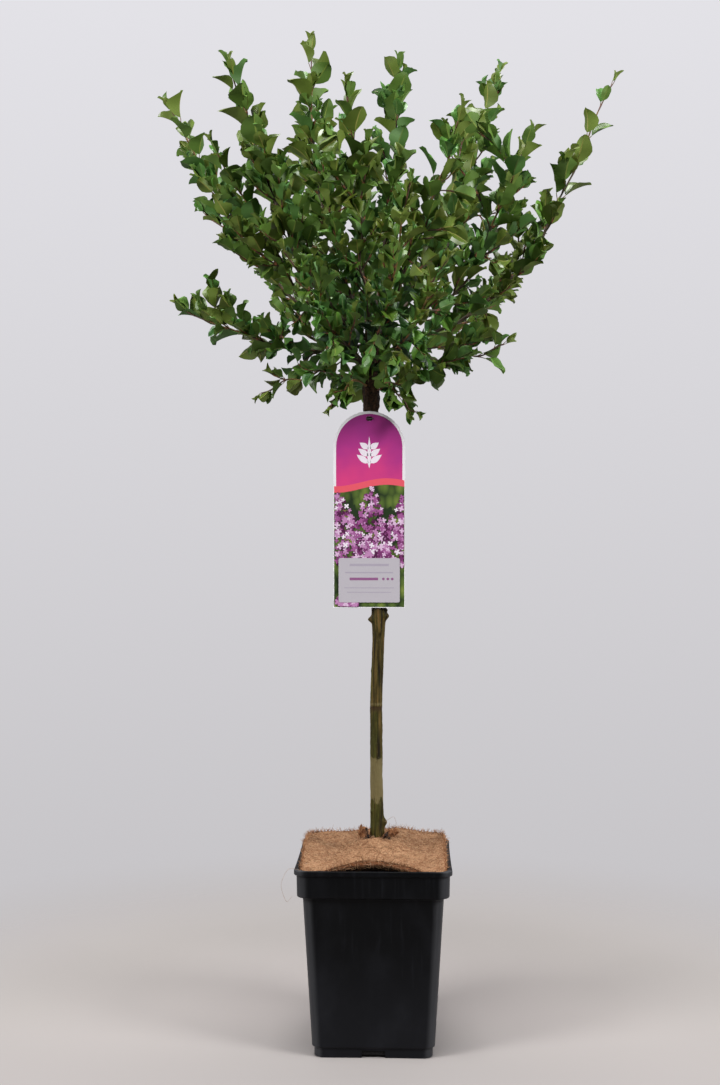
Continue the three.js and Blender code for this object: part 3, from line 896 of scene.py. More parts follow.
skin = bark.mix(above_spur * 0.6, skin, (30, 25, 15))
GRAFT_BROWN = ((0.35, (26, 18, 13)), (0.6, (66, 46, 32)), (0.75, (98, 72, 50)))
graft_skin = bark.ramp(bark.cloud(bark.place(), 420.0, 4.0), *GRAFT_BROWN)
skin = bark.mix((height + ragged).between(0.700, 0.722), skin, graft_skin)
bark.set("Base Color", skin)
bark.set("Roughness", streaks * 0.3 + 0.5)
bark.bump(streaks * 0.6 + pores * 0.4, 0.0008, 0.55)
stem = mesh_piece("stem_bark", *closed_loft(bark_rings), [bark.material], crease=75)
finished(stem, "stem_bark", "stem")

# %% [markdown]
# ## The lines of the main shoots
# A lilac branches by a simple rule: leaves stand in pairs, each pair is turned a quarter round the shoot
# from the last, and a side shoot can grow from the corner above any leaf. The main shoots follow the limbs
# and run on through their masses to the tips, so their lines are read from the solids: out along the limb,
# through its cut end, and on a smooth curve to the furthest point of the mass.

# %% From the head to each tip
HEAD = np.array([-0.004, 0.0])
UP = np.array([0.0, 0.0, 1.0])
TIP_LEAVES = 0.016
TIP_SINK = 0.018
SUNK = {"left_low": 0.022, "right_low": -0.008}
LINE_STEP = 0.003
WANDER = 0.0022
NAMES = sorted(name[len("limb_"):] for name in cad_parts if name.startswith("limb_"))


def curve(start, start_way, end, end_way, steps=40):
    """A smooth curve between two points that leaves and arrives in the given directions."""
    reach = np.linalg.norm(end - start)
    t = np.linspace(0, 1, steps)[:, None]
    leaving = (t**3 - 2 * t**2 + t) * reach * start_way
    arriving = (t**3 - t**2) * reach * end_way
    return (2 * t**3 - 3 * t**2 + 1) * start + leaving + (3 * t**2 - 2 * t**3) * end + arriving


def evenly(line, step=LINE_STEP):
    """The same line with points at even distances."""
    far = np.concatenate(([0], np.cumsum(np.linalg.norm(np.diff(line, axis=0), axis=1))))
    wanted = np.linspace(0, far[-1], max(4, int(far[-1] / step) + 1))
    return np.stack([np.interp(wanted, far, line[:, axis]) for axis in range(3)], 1)


def from_head(spots):
    """How far spots stand from the upright line through the head."""
    return np.hypot(spots[..., 0] - HEAD[0], spots[..., 1] - HEAD[1])


def main_line(name, draw):
    limb, mass = node_points("limb_" + name), node_points("foliage_" + name)
    near = limb[from_head(limb) < from_head(limb).min() + 0.006].mean(0)
    tip = mass[np.argmax(np.linalg.norm(mass - near, axis=1))]
    toward = unit(tip - near)
    others = mass[np.argsort(np.linalg.norm(mass - tip, axis=1))[1:11]]
    tip_way = unit(tip - others.mean(0))
    tip = tip - UP * (TIP_SINK * (1 - max(0.0, toward[2])) + SUNK.get(name, 0.0))
    ahead = limb @ toward
    cut = limb[ahead > ahead.max() - 0.0025]
    joint = cut.mean(0)
    across = np.linalg.svd(cut - joint)[2][2]
    joint_way = across * np.sign(across @ toward)
    foot = np.array([*HEAD, near[2] - 0.006])
    first = curve(foot, unit(near - foot), joint, joint_way)
    last = curve(joint, joint_way, tip, tip_way)
    line = evenly(np.vstack([first, last[1:]]))
    share = np.linspace(0, 1, len(line))[:, None]
    waves = sum(np.sin(share * turns * np.pi + draw.uniform(0, 6, 3)) * draw.normal(0, 1, 3)
                for turns in (3, 7))
    line = line + waves * WANDER * np.sin(share * np.pi)
    return line[: -int(TIP_LEAVES / LINE_STEP)]


draw_lines = np.random.default_rng(7)
main_lines = {name: main_line(name, draw_lines) for name in NAMES}
reach = [len(line) * LINE_STEP for line in main_lines.values()]
print("main shoots:", len(main_lines), "from", round(min(reach), 2), "to", round(max(reach), 2), "m long")

# %% [markdown]
# ## The branching rule
# Growing the shoots and placing the leaves are one job, since both start at the same nodes. Each shoot is
# walked from its tip back to its foot. The gaps between the nodes, the size and width of the leaves and
# the angle at which they stand off all grow over the first few nodes and then stay the same. Side shoots
# get longer lower down, as far as their mass has room for them, and they are cut back until they end in it
# or close by. Towards the head the leaves are smaller, and they are painted darker there as painted shade.

# %% Sizes of the leaves along a shoot
GAPS = (0.0, 0.013, 0.019, 0.022, 0.020, 0.019)
LATER_GAP = 0.0165
LEAF_LENGTH = 0.0318
LEAF_SHARES = (0.46, 0.62, 0.88, 1.0, 1.04)
LEAF_WIDTHS = (0.58, 0.76, 0.92, 1.0)
LEAF_ANGLES = (16, 24, 31, 37, 43)
LIFT = 0.50
SAG = 0.03
HANG = 0.45
STALK_SHARES = (0.22, 0.36)
STALK_BEND = 0.55
HEAD_MIDDLE = (-0.004, 0.0, 0.825)
INNER_REACH = 0.23
INNER_LOSS = 0.36
DEEP_MIDDLE = (-0.004, 0.0, 0.802)
DEEP_REACH = 0.090

# how far each draw may stray: of a size, a gap, a turn in radians, a lean in degrees or a direction
SIZE_SPREAD, GAP_SPREAD = (0.86, 1.14), (0.85, 1.15)
ROLL_SPREAD, QUARTER_SPREAD, TURN_SPREAD = 0.35, 0.10, 0.12
LEAN_SPREAD, LEAN_MORE = 8, 10
BLADE_SPREAD, FACE_SPREAD = 0.10, 0.30

# tones run from 0 for the newest leaf to the darkest; these shift the tone of a shoot
TONES = 7
SHOOT_SPREAD, TONE_SPREAD = 0.5, 1.5
# Near the head the leaves are painted darker: painted shade deep in the head.
DEEP_PAINTED_SHADE = 4
FOOT_TONE, FOOT_FROM = 0.5, 0.22
# The highest leaves are painted a little darker: painted shade against the stronger light from above.
HIGH_PAINTED_SHADE, HIGH_FROM, HIGH_REACH = 0.3, 0.91, 0.12
FRESH_MAIN, FRESH_SIDE = 1.4, 0.5
FRESH_SHARES = (1.0, 0.4, 0.0)


def from_list(values, index, later=None):
    """A value for each of the first nodes, and the last or a later value for all that follow."""
    return values[index] if index < len(values) else (values[-1] if later is None else later)


def nearness(spot, middle, reach):
    """1 at the middle, falling to 0 at its reach."""
    return max(0.0, 1 - math.dist(spot, middle) / reach)


# %% [markdown]
# A mass also has leaves in its middle, where no side shoot happens to go. They are added last: random
# spots are spread through the mass, and a twig grows to the emptiest of them until no spot is far from a
# leaf. The same is done in the shallow bowl round the head, where the limbs start and no mass reaches.

# %% Sizes of the side shoots and twigs
SIDE_FROM = 2
SIDE_CHANCE, SIDE_CHANCE_LATER = 0.62, 0.6
SIDE_ONWARD, SIDE_OUTWARD, SIDE_RISE = 0.75, 0.70, 0.45
SIDE_LONGEST = 0.080
SIDE_SHORTEST = 0.013
SIDE_SHORT = 0.035
SIDE_GROWTH = 0.45
SIDE_LEAST = 0.01
SIDE_SPREAD = (0.75, 1.1)
SIDE_SECOND = 0.5
SIDE_CUT = 0.8
SIDE_GAP = 0.015
SIDE_FIRST_GAP, TWIG_FIRST_GAP = 0.75, 0.85
SIDE_BARE, TWIG_BARE = 0.12, 0.15
SIDE_LEAVES, SIDE_LEAVES_SHORT = 0.88, 0.72
SIDE_TONE = 0.3
TWIG_STEPS = 12
TWIG_SHORT_OF = 0.008
TWIG_EASE = 1.7
TWIG_RISE = 0.4
TWIG_TIP = 0.00055
LEAF_LOSS = (0.08, 0.05, 0.05)
FOLIAGE_MARGIN = 0.016
OUTSIDE_FROM = 0.007
OUTSIDE_LOSS = 0.6
HEAD_REACH = 0.075
HEAD_LOSS = 0.25
FILL_SAMPLES = 480
FILL_DEPTH = 0.004
FILL_GAP = 0.0202
FILL_NEAREST = 0.014
BOWL = 0.105
BOWL_HOLLOW = 0.018
BOWL_FOOT = 0.740
BOWL_TOP = 0.830
BOWL_SLOPE = 0.25


def twig_radii(long):
    """The radius at the tip and at the foot of a twig."""
    return TWIG_TIP, 0.00075 + 0.006 * long


# %% Growth


class Growth:
    """Everything that grows: the lines of the shoots, the nodes on them and the leaves."""

    def __init__(self):
        self.draw = None
        self.side_shoots, self.stalks = [], []
        self.leaves = {name: [] for name in NAMES}
        self.lines = {name: [main_lines[name]] for name in NAMES}

    def leaf_pair(self, mass, spot, way, roll, size, wide, angle, tone, thick, skip):
        """Two leaves that face each other across a shoot; gives back their directions."""
        side = np.cross(way, (0.0, 1.0, 0.0))
        side = unit(side if np.linalg.norm(side) > 0.2 else np.cross(way, (1.0, 0.0, 0.0)))
        other = np.cross(way, side)
        outs = []
        for half in (0, math.pi):
            turn = roll + half + self.draw.normal(0, TURN_SPREAD)
            out = math.cos(turn) * side + math.sin(turn) * other
            outs.append(out)
            if self.draw.random() >= skip:
                grown = size * self.draw.uniform(*SIZE_SPREAD)
                self.leaf(mass, spot + out * thick * 0.7, way, out, grown, wide, angle, tone)
        return outs

    def leaf(self, mass, foot, way, out, size, wide, angle, tone):
        """One leaf: its stalk leans out and up, and its blade leans further and faces the light."""
        lean = math.radians(angle + self.draw.normal(0, LEAN_SPREAD))
        rising = np.clip((way[2] + 0.1) / 0.35, 0, 1)
        level = math.sqrt(max(0.0, 1 - way[2] ** 2)) * rising
        stalk_way = unit(math.cos(lean * 0.8) * way + math.sin(lean * 0.8) * out + LIFT * level * UP)
        stalk_long = size * self.draw.uniform(*STALK_SHARES)
        lean += math.radians(self.draw.uniform(0, LEAN_MORE))
        blade_way = math.cos(lean) * way + math.sin(lean) * out + self.draw.normal(0, BLADE_SPREAD, 3)
        blade_way = unit(blade_way + (LIFT * level - SAG * max(tone, 0) - HANG * (1 - rising)) * UP)
        joint = foot + unit(stalk_way + blade_way * 0.35) * stalk_long
        face = way * math.sin(lean) - out * math.cos(lean) + (0.15 + 0.7 * level) * UP
        face = face + self.draw.normal(0, FACE_SPREAD, 3)
        face = unit(face - blade_way * (face @ blade_way))
        across = np.cross(blade_way, face) * wide
        pattern = self.draw.integers(0, PATTERNS)
        shade = int(np.clip(round(tone + self.draw.normal(0, TONE_SPREAD)), 0, TONES - 1))
        self.leaves[mass].append((joint, across, blade_way, face, size, pattern, shade))
        self.stalks.append((foot, foot + stalk_way * stalk_long * STALK_BEND, joint, size, shade))

    def room(self, mass, spot, way):
        """How far a side shoot may go before it leaves its mass."""
        hit = trees[mass].ray_cast(spot, way)
        return hit[3] if hit[0] is not None and hit[1].dot(way) > 0 else 0.0

    def depth(self, mass, spot):
        """How deep a spot lies in its mass; less than zero outside."""
        near, normal, _, far = trees[mass].find_nearest(Vector(spot))
        return far if (Vector(spot) - near).dot(normal) < 0 else -far

    def dress(self, mass, line, tone, sizes, gaps, later_gap, bare, level, tip_radius, foot_radius):
        """Walks one shoot from its tip to its foot, and gives it leaves and side shoots."""
        long = len(line) * LINE_STEP
        forward = unit(np.gradient(line, axis=0))
        back, index, roll = 0.0, 0, self.draw.normal(0, ROLL_SPREAD)
        tone = tone + self.draw.normal(0, SHOOT_SPREAD)
        fresh = FRESH_MAIN if level == 0 else FRESH_SIDE
        nodes = []
        while True:
            back += from_list(gaps, index, later_gap) * self.draw.uniform(*GAP_SPREAD)
            if back > long * (1 - bare):
                break
            at = max(0, len(line) - 1 - int(round(back / LINE_STEP)))
            spot, way = line[at], forward[at]
            thick = tip_radius + (foot_radius - tip_radius) * (back / long) ** 1.3
            inner = nearness(spot, HEAD_MIDDLE, INNER_REACH)
            size = from_list(LEAF_SHARES, index + level) * sizes * (1 - INNER_LOSS * inner)
            wide = from_list(LEAF_WIDTHS, index + level)
            angle = from_list(LEAF_ANGLES, index)
            shade = tone + FOOT_TONE * min(1.0, back / FOOT_FROM)
            shade -= fresh * from_list(FRESH_SHARES, index) * (1 - inner)
            # painted shade near the head
            shade += DEEP_PAINTED_SHADE * nearness(spot, DEEP_MIDDLE, DEEP_REACH)
            # painted shade on the highest leaves
            shade += HIGH_PAINTED_SHADE * np.clip((spot[2] - HIGH_FROM) / HIGH_REACH, 0, 1)
            loss = 0.0 if index < SIDE_FROM else LEAF_LOSS[level]
            if self.depth(mass, spot) < -OUTSIDE_FROM:
                loss = HEAD_LOSS if from_head(spot) < HEAD_REACH else OUTSIDE_LOSS
            outs = self.leaf_pair(mass, spot, way, roll, size, wide, angle, shade, thick, loss)
            if level < 2 and index >= SIDE_FROM:
                for out in outs:
                    self.side_shoot(mass, spot, way, out, back, shade, level)
            nodes.append(at)
            roll += math.pi / 2 + self.draw.normal(0, QUARTER_SPREAD)
            index += 1
        return nodes

    def branch(self, mass, line, long, tone, sizes, first_gap, bare, level):
        """Dresses a side shoot or twig and keeps it."""
        radii = twig_radii(long)
        nodes = self.dress(mass, line, tone, sizes, (0.0, first_gap), SIDE_GAP, bare, level, *radii)
        self.side_shoots.append((line, radii, nodes))
        self.lines[mass].append(line)

    def side_shoot(self, mass, spot, way, out, back, tone, level):
        """Now and then a side shoot, as long as its place on the shoot and the room in its mass allow."""
        if self.draw.random() > SIDE_CHANCE * (1 if level == 0 else SIDE_CHANCE_LATER):
            return
        start = unit(SIDE_ONWARD * way + SIDE_OUTWARD * out)
        space = self.room(mass, spot + start * 0.002, unit(start + 0.3 * UP)) - FOLIAGE_MARGIN
        long = min(SIDE_LONGEST, SIDE_GROWTH * back + SIDE_LEAST, max(SIDE_SHORTEST, space))
        long *= self.draw.uniform(*SIDE_SPREAD)
        if level == 1:
            long *= SIDE_SECOND
        end_way = unit(start + 0.5 * way + SIDE_RISE * UP + self.draw.normal(0, 0.12, 3))
        toward = unit(start + end_way)
        while self.depth(mass, spot + toward * long) < -OUTSIDE_FROM and long > SIDE_SHORTEST:
            long *= SIDE_CUT
        if long < 0.9 * SIDE_SHORTEST:
            return
        line = evenly(curve(spot, start, spot + toward * long, end_way, TWIG_STEPS))
        sizes = LEAF_LENGTH * (SIDE_LEAVES_SHORT if long < SIDE_SHORT else SIDE_LEAVES)
        first_gap = SIDE_GAP * SIDE_FIRST_GAP
        self.branch(mass, line, long, tone + SIDE_TONE, sizes, first_gap, SIDE_BARE, level + 1)

    def twig_to(self, mass, goal, tone, sizes):
        """Grows a twig to a goal from the point of the older shoots that reaches it at an easy angle."""
        points = np.vstack(self.lines[mass])
        forward = np.vstack([unit(np.gradient(line, axis=0)) for line in self.lines[mass]])
        reach = goal - points
        far = np.linalg.norm(reach, axis=1)
        bend = (reach * forward).sum(1) / far
        best = (far * (TWIG_EASE - bend) + 10 * (far < FILL_NEAREST)).argmin()
        way = reach[best] / far[best]
        start_way = unit(forward[best] + way)
        end_way = unit(way + TWIG_RISE * UP + self.draw.normal(0, 0.15, 3))
        line = evenly(curve(points[best], start_way, goal - end_way * TWIG_SHORT_OF, end_way, TWIG_STEPS))
        first_gap = SIDE_GAP * TWIG_FIRST_GAP
        self.branch(mass, line, len(line) * LINE_STEP, tone, sizes, first_gap, TWIG_BARE, 2)

    def fill(self, spots, masses, tone, sizes, gap):
        """Sends a twig to each of the spots that no leaf is near, the emptiest spot first."""
        while len(spots):
            leaves = [leaf for mass in masses for leaf in self.leaves[mass]]
            middles = np.array([joint + along * size * 0.5 for joint, _, along, _, size, _, _ in leaves])
            empty = np.linalg.norm(spots[:, None] - middles, axis=2).min(1)
            chosen = empty.argmax()
            if empty[chosen] < gap:
                break
            goal = spots[chosen]
            nearest = min(masses, key=lambda mass: np.linalg.norm(main_lines[mass] - goal, axis=1).min())
            self.twig_to(nearest, goal, tone, sizes)
            spots = np.delete(spots, chosen, 0)

    def spots_in(self, mass):
        """Random spots well inside a mass."""
        corners = node_points("foliage_" + mass)
        spots = self.draw.uniform(corners.min(0), corners.max(0), (FILL_SAMPLES, 3))
        return np.array([spot for spot in spots if self.depth(mass, spot) > FILL_DEPTH])

    def spots_round_head(self):
        """Random spots in the bowl round the head."""
        spots = self.draw.uniform((-BOWL, -BOWL, BOWL_FOOT), (BOWL, BOWL, BOWL_TOP), (FILL_SAMPLES * 3, 3))
        spots[:, :2] += HEAD
        far = from_head(spots)
        return spots[(far > BOWL_HOLLOW) & (far < BOWL) & (spots[:, 2] > BOWL_FOOT + BOWL_SLOPE * far)]


# %% [markdown]
# ## One leaf, and many ways to hold it
# A lilac leaf is a broad spade that narrows into its stalk. It is folded along its midrib, its margin
# waves, and its point curls back. At this size a leaf needs no more than its outline, the fold, the wave
# and shallow creases where its side veins run: eight rings of points, closed at both ends, with the midrib
# as a narrow paler strip on both faces. Fourteen patterns with other folds and waves are enough to hide
# that they repeat.

# %% Leaf patterns
PATTERNS = 14
LEAF_ROWS = (0.05, 0.15, 0.29, 0.44, 0.59, 0.73, 0.85, 0.94)
LEAF_HALVES = (0.14, 0.31, 0.425, 0.455, 0.425, 0.325, 0.185, 0.070)
LEAF_ACROSS = (-1.0, -0.55, -0.045, 0.045, 0.55, 1.0)
LEAF_UNDER = (-0.06, 0.06)
LEAF_THICK = 0.014
LEAF_CREASE = 0.011
LEAF_BULGE = 0.16
HOOK_FROM = 0.72
FINE_STEPS = 50


def leaf_pattern(draw):
    """Points of a leaf of length 1, its foot at the origin, along Y, with its upper face towards Z."""
    fold = math.radians(draw.uniform(20, 54))
    arch, hook = draw.uniform(0.05, 0.45), draw.uniform(0.1, 0.8)
    twist, wave, phase = draw.normal(0, 0.28), draw.uniform(0.04, 0.12), draw.uniform(0, 6.3, 2)
    fine = np.linspace(0, 1, FINE_STEPS + 1)
    slope = -0.12 + arch * fine + hook * np.clip((fine - HOOK_FROM) / (1 - HOOK_FROM), 0, 1) ** 2
    ahead = np.concatenate(([0], np.cumsum(np.cos(slope[:-1])) / FINE_STEPS))
    down = np.concatenate(([0], np.cumsum(np.sin(slope[:-1])) / FINE_STEPS))

    def middle(share):
        return np.array([np.interp(share, fine, ahead), -np.interp(share, fine, down)])

    points = []
    for row, (share, half) in enumerate(zip(LEAF_ROWS, LEAF_HALVES)):
        y, z = middle(share)
        lean = np.interp(share, fine, slope)
        turn = twist * share
        for column, place in enumerate(LEAF_ACROSS + LEAF_UNDER):
            side_phase = phase[0 if place < 0 else 1]
            wide = half * (1 + 0.09 * math.sin(10 * share + side_phase))
            out = abs(place) * wide
            ripple = wave * math.sin(9 * share + 2 * side_phase) * place**2 * min(1, 2.2 * share)
            bulge = LEAF_BULGE * wide * (1 - (2 * abs(place) - 1) ** 2)
            crease = LEAF_CREASE * math.sin(2.6 * place) ** 2 * (-1) ** row
            up = out * math.sin(fold) + ripple + bulge + crease
            if column >= len(LEAF_ACROSS):
                up -= LEAF_THICK
            x = math.copysign(out * math.cos(fold), place)
            x, up = x * math.cos(turn) - up * math.sin(turn), x * math.sin(turn) + up * math.cos(turn)
            points.append((x, y + up * math.sin(lean), z + up * math.cos(lean)))
    return np.array(points + [(0, 0, 0), (0, *middle(1.0))])


def leaf_faces():
    """Quads, triangles and their kinds: 0 the upper face, 1 its midrib, 2 the underside, 3 its midrib."""
    columns = len(LEAF_ACROSS)
    width = columns + len(LEAF_UNDER)
    ring = list(range(columns)) + list(range(width - 1, columns - 1, -1))
    kinds = [0] * (columns - 1) + [2, 3, 2]
    kinds[columns // 2 - 1] = 1
    base = len(LEAF_ROWS) * width
    last = base - width
    pairs = list(zip(ring, ring[1:] + ring[:1]))
    quads = [(a + here, a + there, a + width + there, a + width + here)
             for a in range(0, last, width) for here, there in pairs]
    threes = []
    for here, there in pairs:
        threes += [(base, there, here), (last + here, last + there, base + 1)]
    quad_kinds = np.tile(kinds, len(LEAF_ROWS) - 1)
    return np.array(quads), np.array(threes), quad_kinds, np.repeat(kinds, 2)


draw_patterns = np.random.default_rng(19)
patterns = np.array([leaf_pattern(draw_patterns) for _ in range(PATTERNS)])
print("leaf:", patterns.shape[1], "points,", sum(map(len, leaf_faces()[:2])), "faces")

# %% [markdown]
# ## Growing
# Each main shoot gets a random generator of its own, so a change to one shoot leaves the others as they
# are. A few masses turn out fuller with another seed than their turn gives them. Some have larger or
# smaller leaves than the rest, and some are kept more open or filled more closely.

# %% Grow the bush
FIRST_SEED = 58
SEEDS = {
    "left_low": 112,
    "centre_left": 103,
    "right_outer": 107,
    "right_low": 145,
    "skirt_front": 120,
    "skirt_right": 147,
    "back_low_right": 116,
}
STRETCHED = {"right_outer": 2.1}
LEAF_SCALES = {
    "skirt_right": 1.04,
    "skirt": 0.92,
    "front_low": 0.92,
    "back_low_right": 1.0,
    "back_low": 0.92,
    "left_low": 1.06,
    "right_low": 1.08,
}
FILL_GAPS = {
    "back": 0.0245,
    "back_right": 0.0235,
    "centre_back": 0.0240,
    "front_right": 0.0235,
    "right_front": 0.0225,
    "skirt_right": 0.0150,
    "back_low_right": 0.0170,
    "right_low": 0.0150,
}
# The leaves in the bowl round the head take a darker tone: painted shade under the head.
SHOOT_TONE, LOW_TONE, HEAD_PAINTED_SHADE = 1.6, 0.1, 3.2
TWIG_LEAVES, HEAD_LEAVES = 0.9, 0.74
MAIN_RADII = (0.0007, 0.0020)
MAIN_BARE = 0.03


def closed_tree(name):
    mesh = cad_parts["foliage_" + name].data
    corners = [vertex.co.copy() for vertex in mesh.vertices]
    return BVHTree.FromPolygons(corners, [tuple(face.vertices) for face in mesh.polygons])


trees = {name: closed_tree(name) for name in NAMES}
growth = Growth()
main_nodes = {}
for index, (name, line) in enumerate(main_lines.items()):
    growth.draw = np.random.default_rng(SEEDS.get(name, FIRST_SEED + index))
    low = np.clip((0.98 - line[-1][2]) / 0.12, 0, 1)
    scale = next((share for start, share in LEAF_SCALES.items() if name.startswith(start)), 1.0)
    leaves_long = LEAF_LENGTH * scale
    gaps = [gap * STRETCHED.get(name, 1.0) for gap in GAPS]
    tone = SHOOT_TONE + LOW_TONE * low
    sizes = (leaves_long, gaps, LATER_GAP, MAIN_BARE)
    main_nodes[name] = growth.dress(name, line, tone, *sizes, 0, *MAIN_RADII)
    fill_gap = FILL_GAPS.get(name, FILL_GAP)
    growth.fill(growth.spots_in(name), [name], SHOOT_TONE, leaves_long * TWIG_LEAVES, fill_gap)
growth.fill(growth.spots_round_head(), NAMES, HEAD_PAINTED_SHADE, LEAF_LENGTH * HEAD_LEAVES, FILL_GAP)
print("side shoots:", len(growth.side_shoots), "leaves:", sum(map(len, growth.leaves.values())))

# %% [markdown]
# ## Colours of the leaves
# Every spray has a tone of its own, from the olive of the newest pair at a tip through fresh greens to the
# deep green of old leaves near the head, painted deeper still there as painted shade; the highest leaves
# are painted a little darker too, as painted shade. A plain colour for each tone is enough, because a leaf
# is only a few pixels wide. The midrib and the underside are paler, each in plain colours of their own.

# %% Leaf tones
LEAF_TONES = [
    (94, 107, 29),
    (85, 106, 27),
    (80, 112, 30),
    (85, 127, 40),
    (82, 132, 48),
    (66, 115, 50),
    (34, 62, 31),
]
RIB_TONES = [(150, 150, 76), (130, 148, 66), (106, 130, 66)]
UNDER_TONES = [(99, 118, 44), (88, 118, 46), (74, 112, 50)]
leaf_materials = plain_finishes("leaf_upper", LEAF_TONES, 0.41, specular_ior_level=0.7)
leaf_materials += plain_finishes("leaf_rib", RIB_TONES, 0.5, specular_ior_level=0.3)
leaf_materials += plain_finishes("leaf_under", UNDER_TONES, 0.55, specular_ior_level=0.3)
RIB_SLOT, UNDER_SLOT = len(LEAF_TONES), len(LEAF_TONES) + len(RIB_TONES)


def leaves_piece(name, leaves):
    """All leaves of a mass as one mesh: each takes a pattern's points to its own place, way and size."""
    joint, across, along, face, size, pattern, shade = map(np.array, zip(*leaves))
    shape = patterns[pattern]
    ways = np.stack([across, along, face], 1)
    points = joint[:, None] + size[:, None, None] * np.einsum("nij,njk->nik", shape, ways)
    quads, threes, quad_kinds, three_kinds = leaf_faces()
    first = (np.arange(len(leaves)) * shape.shape[1])[:, None, None]
    groups = [(first + quads).reshape(-1, 4), (first + threes).reshape(-1, 3)]
    third = np.clip(shade // 2, 0, 2)
    by_kind = np.stack([shade, RIB_SLOT + third, UNDER_SLOT + third, RIB_SLOT + third], 1)
    slots = np.concatenate([by_kind[:, quad_kinds].ravel(), by_kind[:, three_kinds].ravel()])
    return mesh_piece(f"leaves_{name}", points.reshape(-1, 3), groups, leaf_materials, slots, 28)


for name in NAMES:
    finished(leaves_piece(name, growth.leaves[name]), "foliage", "foliage_" + name)

# %% [markdown]
# ## Leaf stalks, twigs and boughs
# A stalk is a bent thread from its node to the foot of its leaf. A twig is a thin tube that swells at each
# node; it is purple-brown where it is young and rusty at the nodes. The main shoots are stouter and older,
# so they get a mesh of their own with ridged bark. Towards their tips they turn tan, then purple.

# %% Stalks
STALK_RADIUS = 0.00050
STALK_TAPER = np.array([1.35, 1.0, 0.95, 0.85])
stalks = Bundle()
for foot, bend, joint, size, shade in growth.stalks:
    share = np.linspace(0, 1, len(STALK_TAPER))[:, None]
    line = (1 - share) ** 2 * foot + 2 * share * (1 - share) * bend + share**2 * joint
    radii = STALK_RADIUS * (0.6 + 0.4 * size / LEAF_LENGTH) * STALK_TAPER
    stalks.add(line, radii, 4, [0, 0, 1 if shade > 1 else 0])
stalk_materials = plain_finishes("stalk", [(108, 76, 48), (96, 104, 44)], 0.5)
finished(stalks.piece("leaf_stalks", stalk_materials), "foliage")

# %% Twigs
TWIG_AROUND = 6
NODE_SWELL = 1.35
twigs = Bundle()
for line, (thin, thick), nodes in growth.side_shoots:
    share = np.linspace(1, 0, len(line))
    radii = thin + (thick - thin) * share
    slots = np.where(share[:-1] > 0.5, 1, 0)
    radii[nodes] *= NODE_SWELL
    slots[np.clip(nodes, 0, len(slots) - 1)] = 2
    twigs.add(line, radii, TWIG_AROUND, slots)
twig_materials = plain_finishes("twig", [(94, 62, 46), (66, 50, 34), (128, 76, 44)], 0.6)
finished(twigs.piece("twigs", twig_materials), "limb_bark")

# %% [markdown]
# The grain of a bough runs along it, whichever way it grows, so its pattern can't read plain coordinates.
# Each point of the mesh carries its own place on the bough instead: two numbers round it and one along it.
# Stretching the noise along the third number draws streaks that follow every bend.

# %% Boughs with their grain
BOUGH_AROUND = 12
BOUGH_TIP, BOUGH_FOOT = 0.0007, 0.0011
BOUGH_GROWTH = 0.0024
BOUGH_SWELL = 0.22
BOUGH_RIDGES = 0.16
YOUNG_LENGTH, NEW_LENGTH = 0.11, 0.035

boughs = Bundle()
angle = np.arange(BOUGH_AROUND) * 2 * np.pi / BOUGH_AROUND
for index, (name, line) in enumerate(main_lines.items()):
    steps = np.arange(len(line))
    share = np.linspace(1, 0, len(line))
    foot_radius = BOUGH_FOOT + BOUGH_GROWTH * len(line) * LINE_STEP
    radii = BOUGH_TIP + (foot_radius - BOUGH_TIP) * share**1.2
    for node in main_nodes[name]:
        radii *= 1 + BOUGH_SWELL * np.exp(-((steps - node) ** 2) / 1.2)
    ridged = [[noise.noise((3 * math.cos(a), 3 * math.sin(a), k * 0.55 + 40 * index)) for a in angle]
              for k in steps]
    radii = radii[:, None] * (1 + BOUGH_RIDGES * np.array(ridged) * share[:, None] ** 0.5)
    far = steps * LINE_STEP + index
    wide = radii.mean(1)[:, None]
    grain = np.stack([wide * np.cos(angle), wide * np.sin(angle), far[:, None] + 0 * wide * angle], -1)
    grain = np.vstack([grain.reshape(-1, 3), [(0, 0, far[0]), (0, 0, far[-1])]])
    to_tip = steps[:0:-1] * LINE_STEP
    age = np.where(to_tip > YOUNG_LENGTH, 0, np.where(to_tip > NEW_LENGTH, 1, 2))
    boughs.add(line, radii, BOUGH_AROUND, age, grain)

# %% Bark of the boughs
bough_bark = Finish("bough_bark", (84, 62, 46), 0.68)
grain = bough_bark.node("ShaderNodeAttribute", {"attribute_name": "grain"}, {}, "Vector")
stretched = bough_bark.node("ShaderNodeMapping", {}, {"Vector": grain, "Scale": (1, 1, 0.12)})
fine = bough_bark.cloud(stretched, 700.0, 3.0)
old = bough_bark.ramp(fine, (0.34, (30, 22, 16)), (0.52, (62, 46, 32)), (0.72, (96, 78, 58)))
olive = bough_bark.ramp(fine, (0.34, (36, 32, 18)), (0.7, (80, 74, 42)))
along_bough = bough_bark.cloud(grain, 34.0, 3.0).between(0.45, 0.65)
bough_bark.set("Base Color", bough_bark.mix(along_bough, old, olive))
bough_bark.bump(fine, 0.0005, 0.6)
young_bark = plain_finishes("bough_young", [(118, 90, 48), (94, 64, 56)], 0.6)
limb_nodes = ["limb_" + name for name in NAMES]
finished(boughs.piece("boughs", [bough_bark.material, *young_bark], 60), "limb_bark", *limb_nodes)

# %% [markdown]
# ## The tag
# The card hangs on a loop through its hole. Its own solid stays, as white card. The solid's slot is wider
# than the real hole, so two flush inserts narrow it, and the loop is pinched together where it passes
# through. The loop is thin dark nylon.

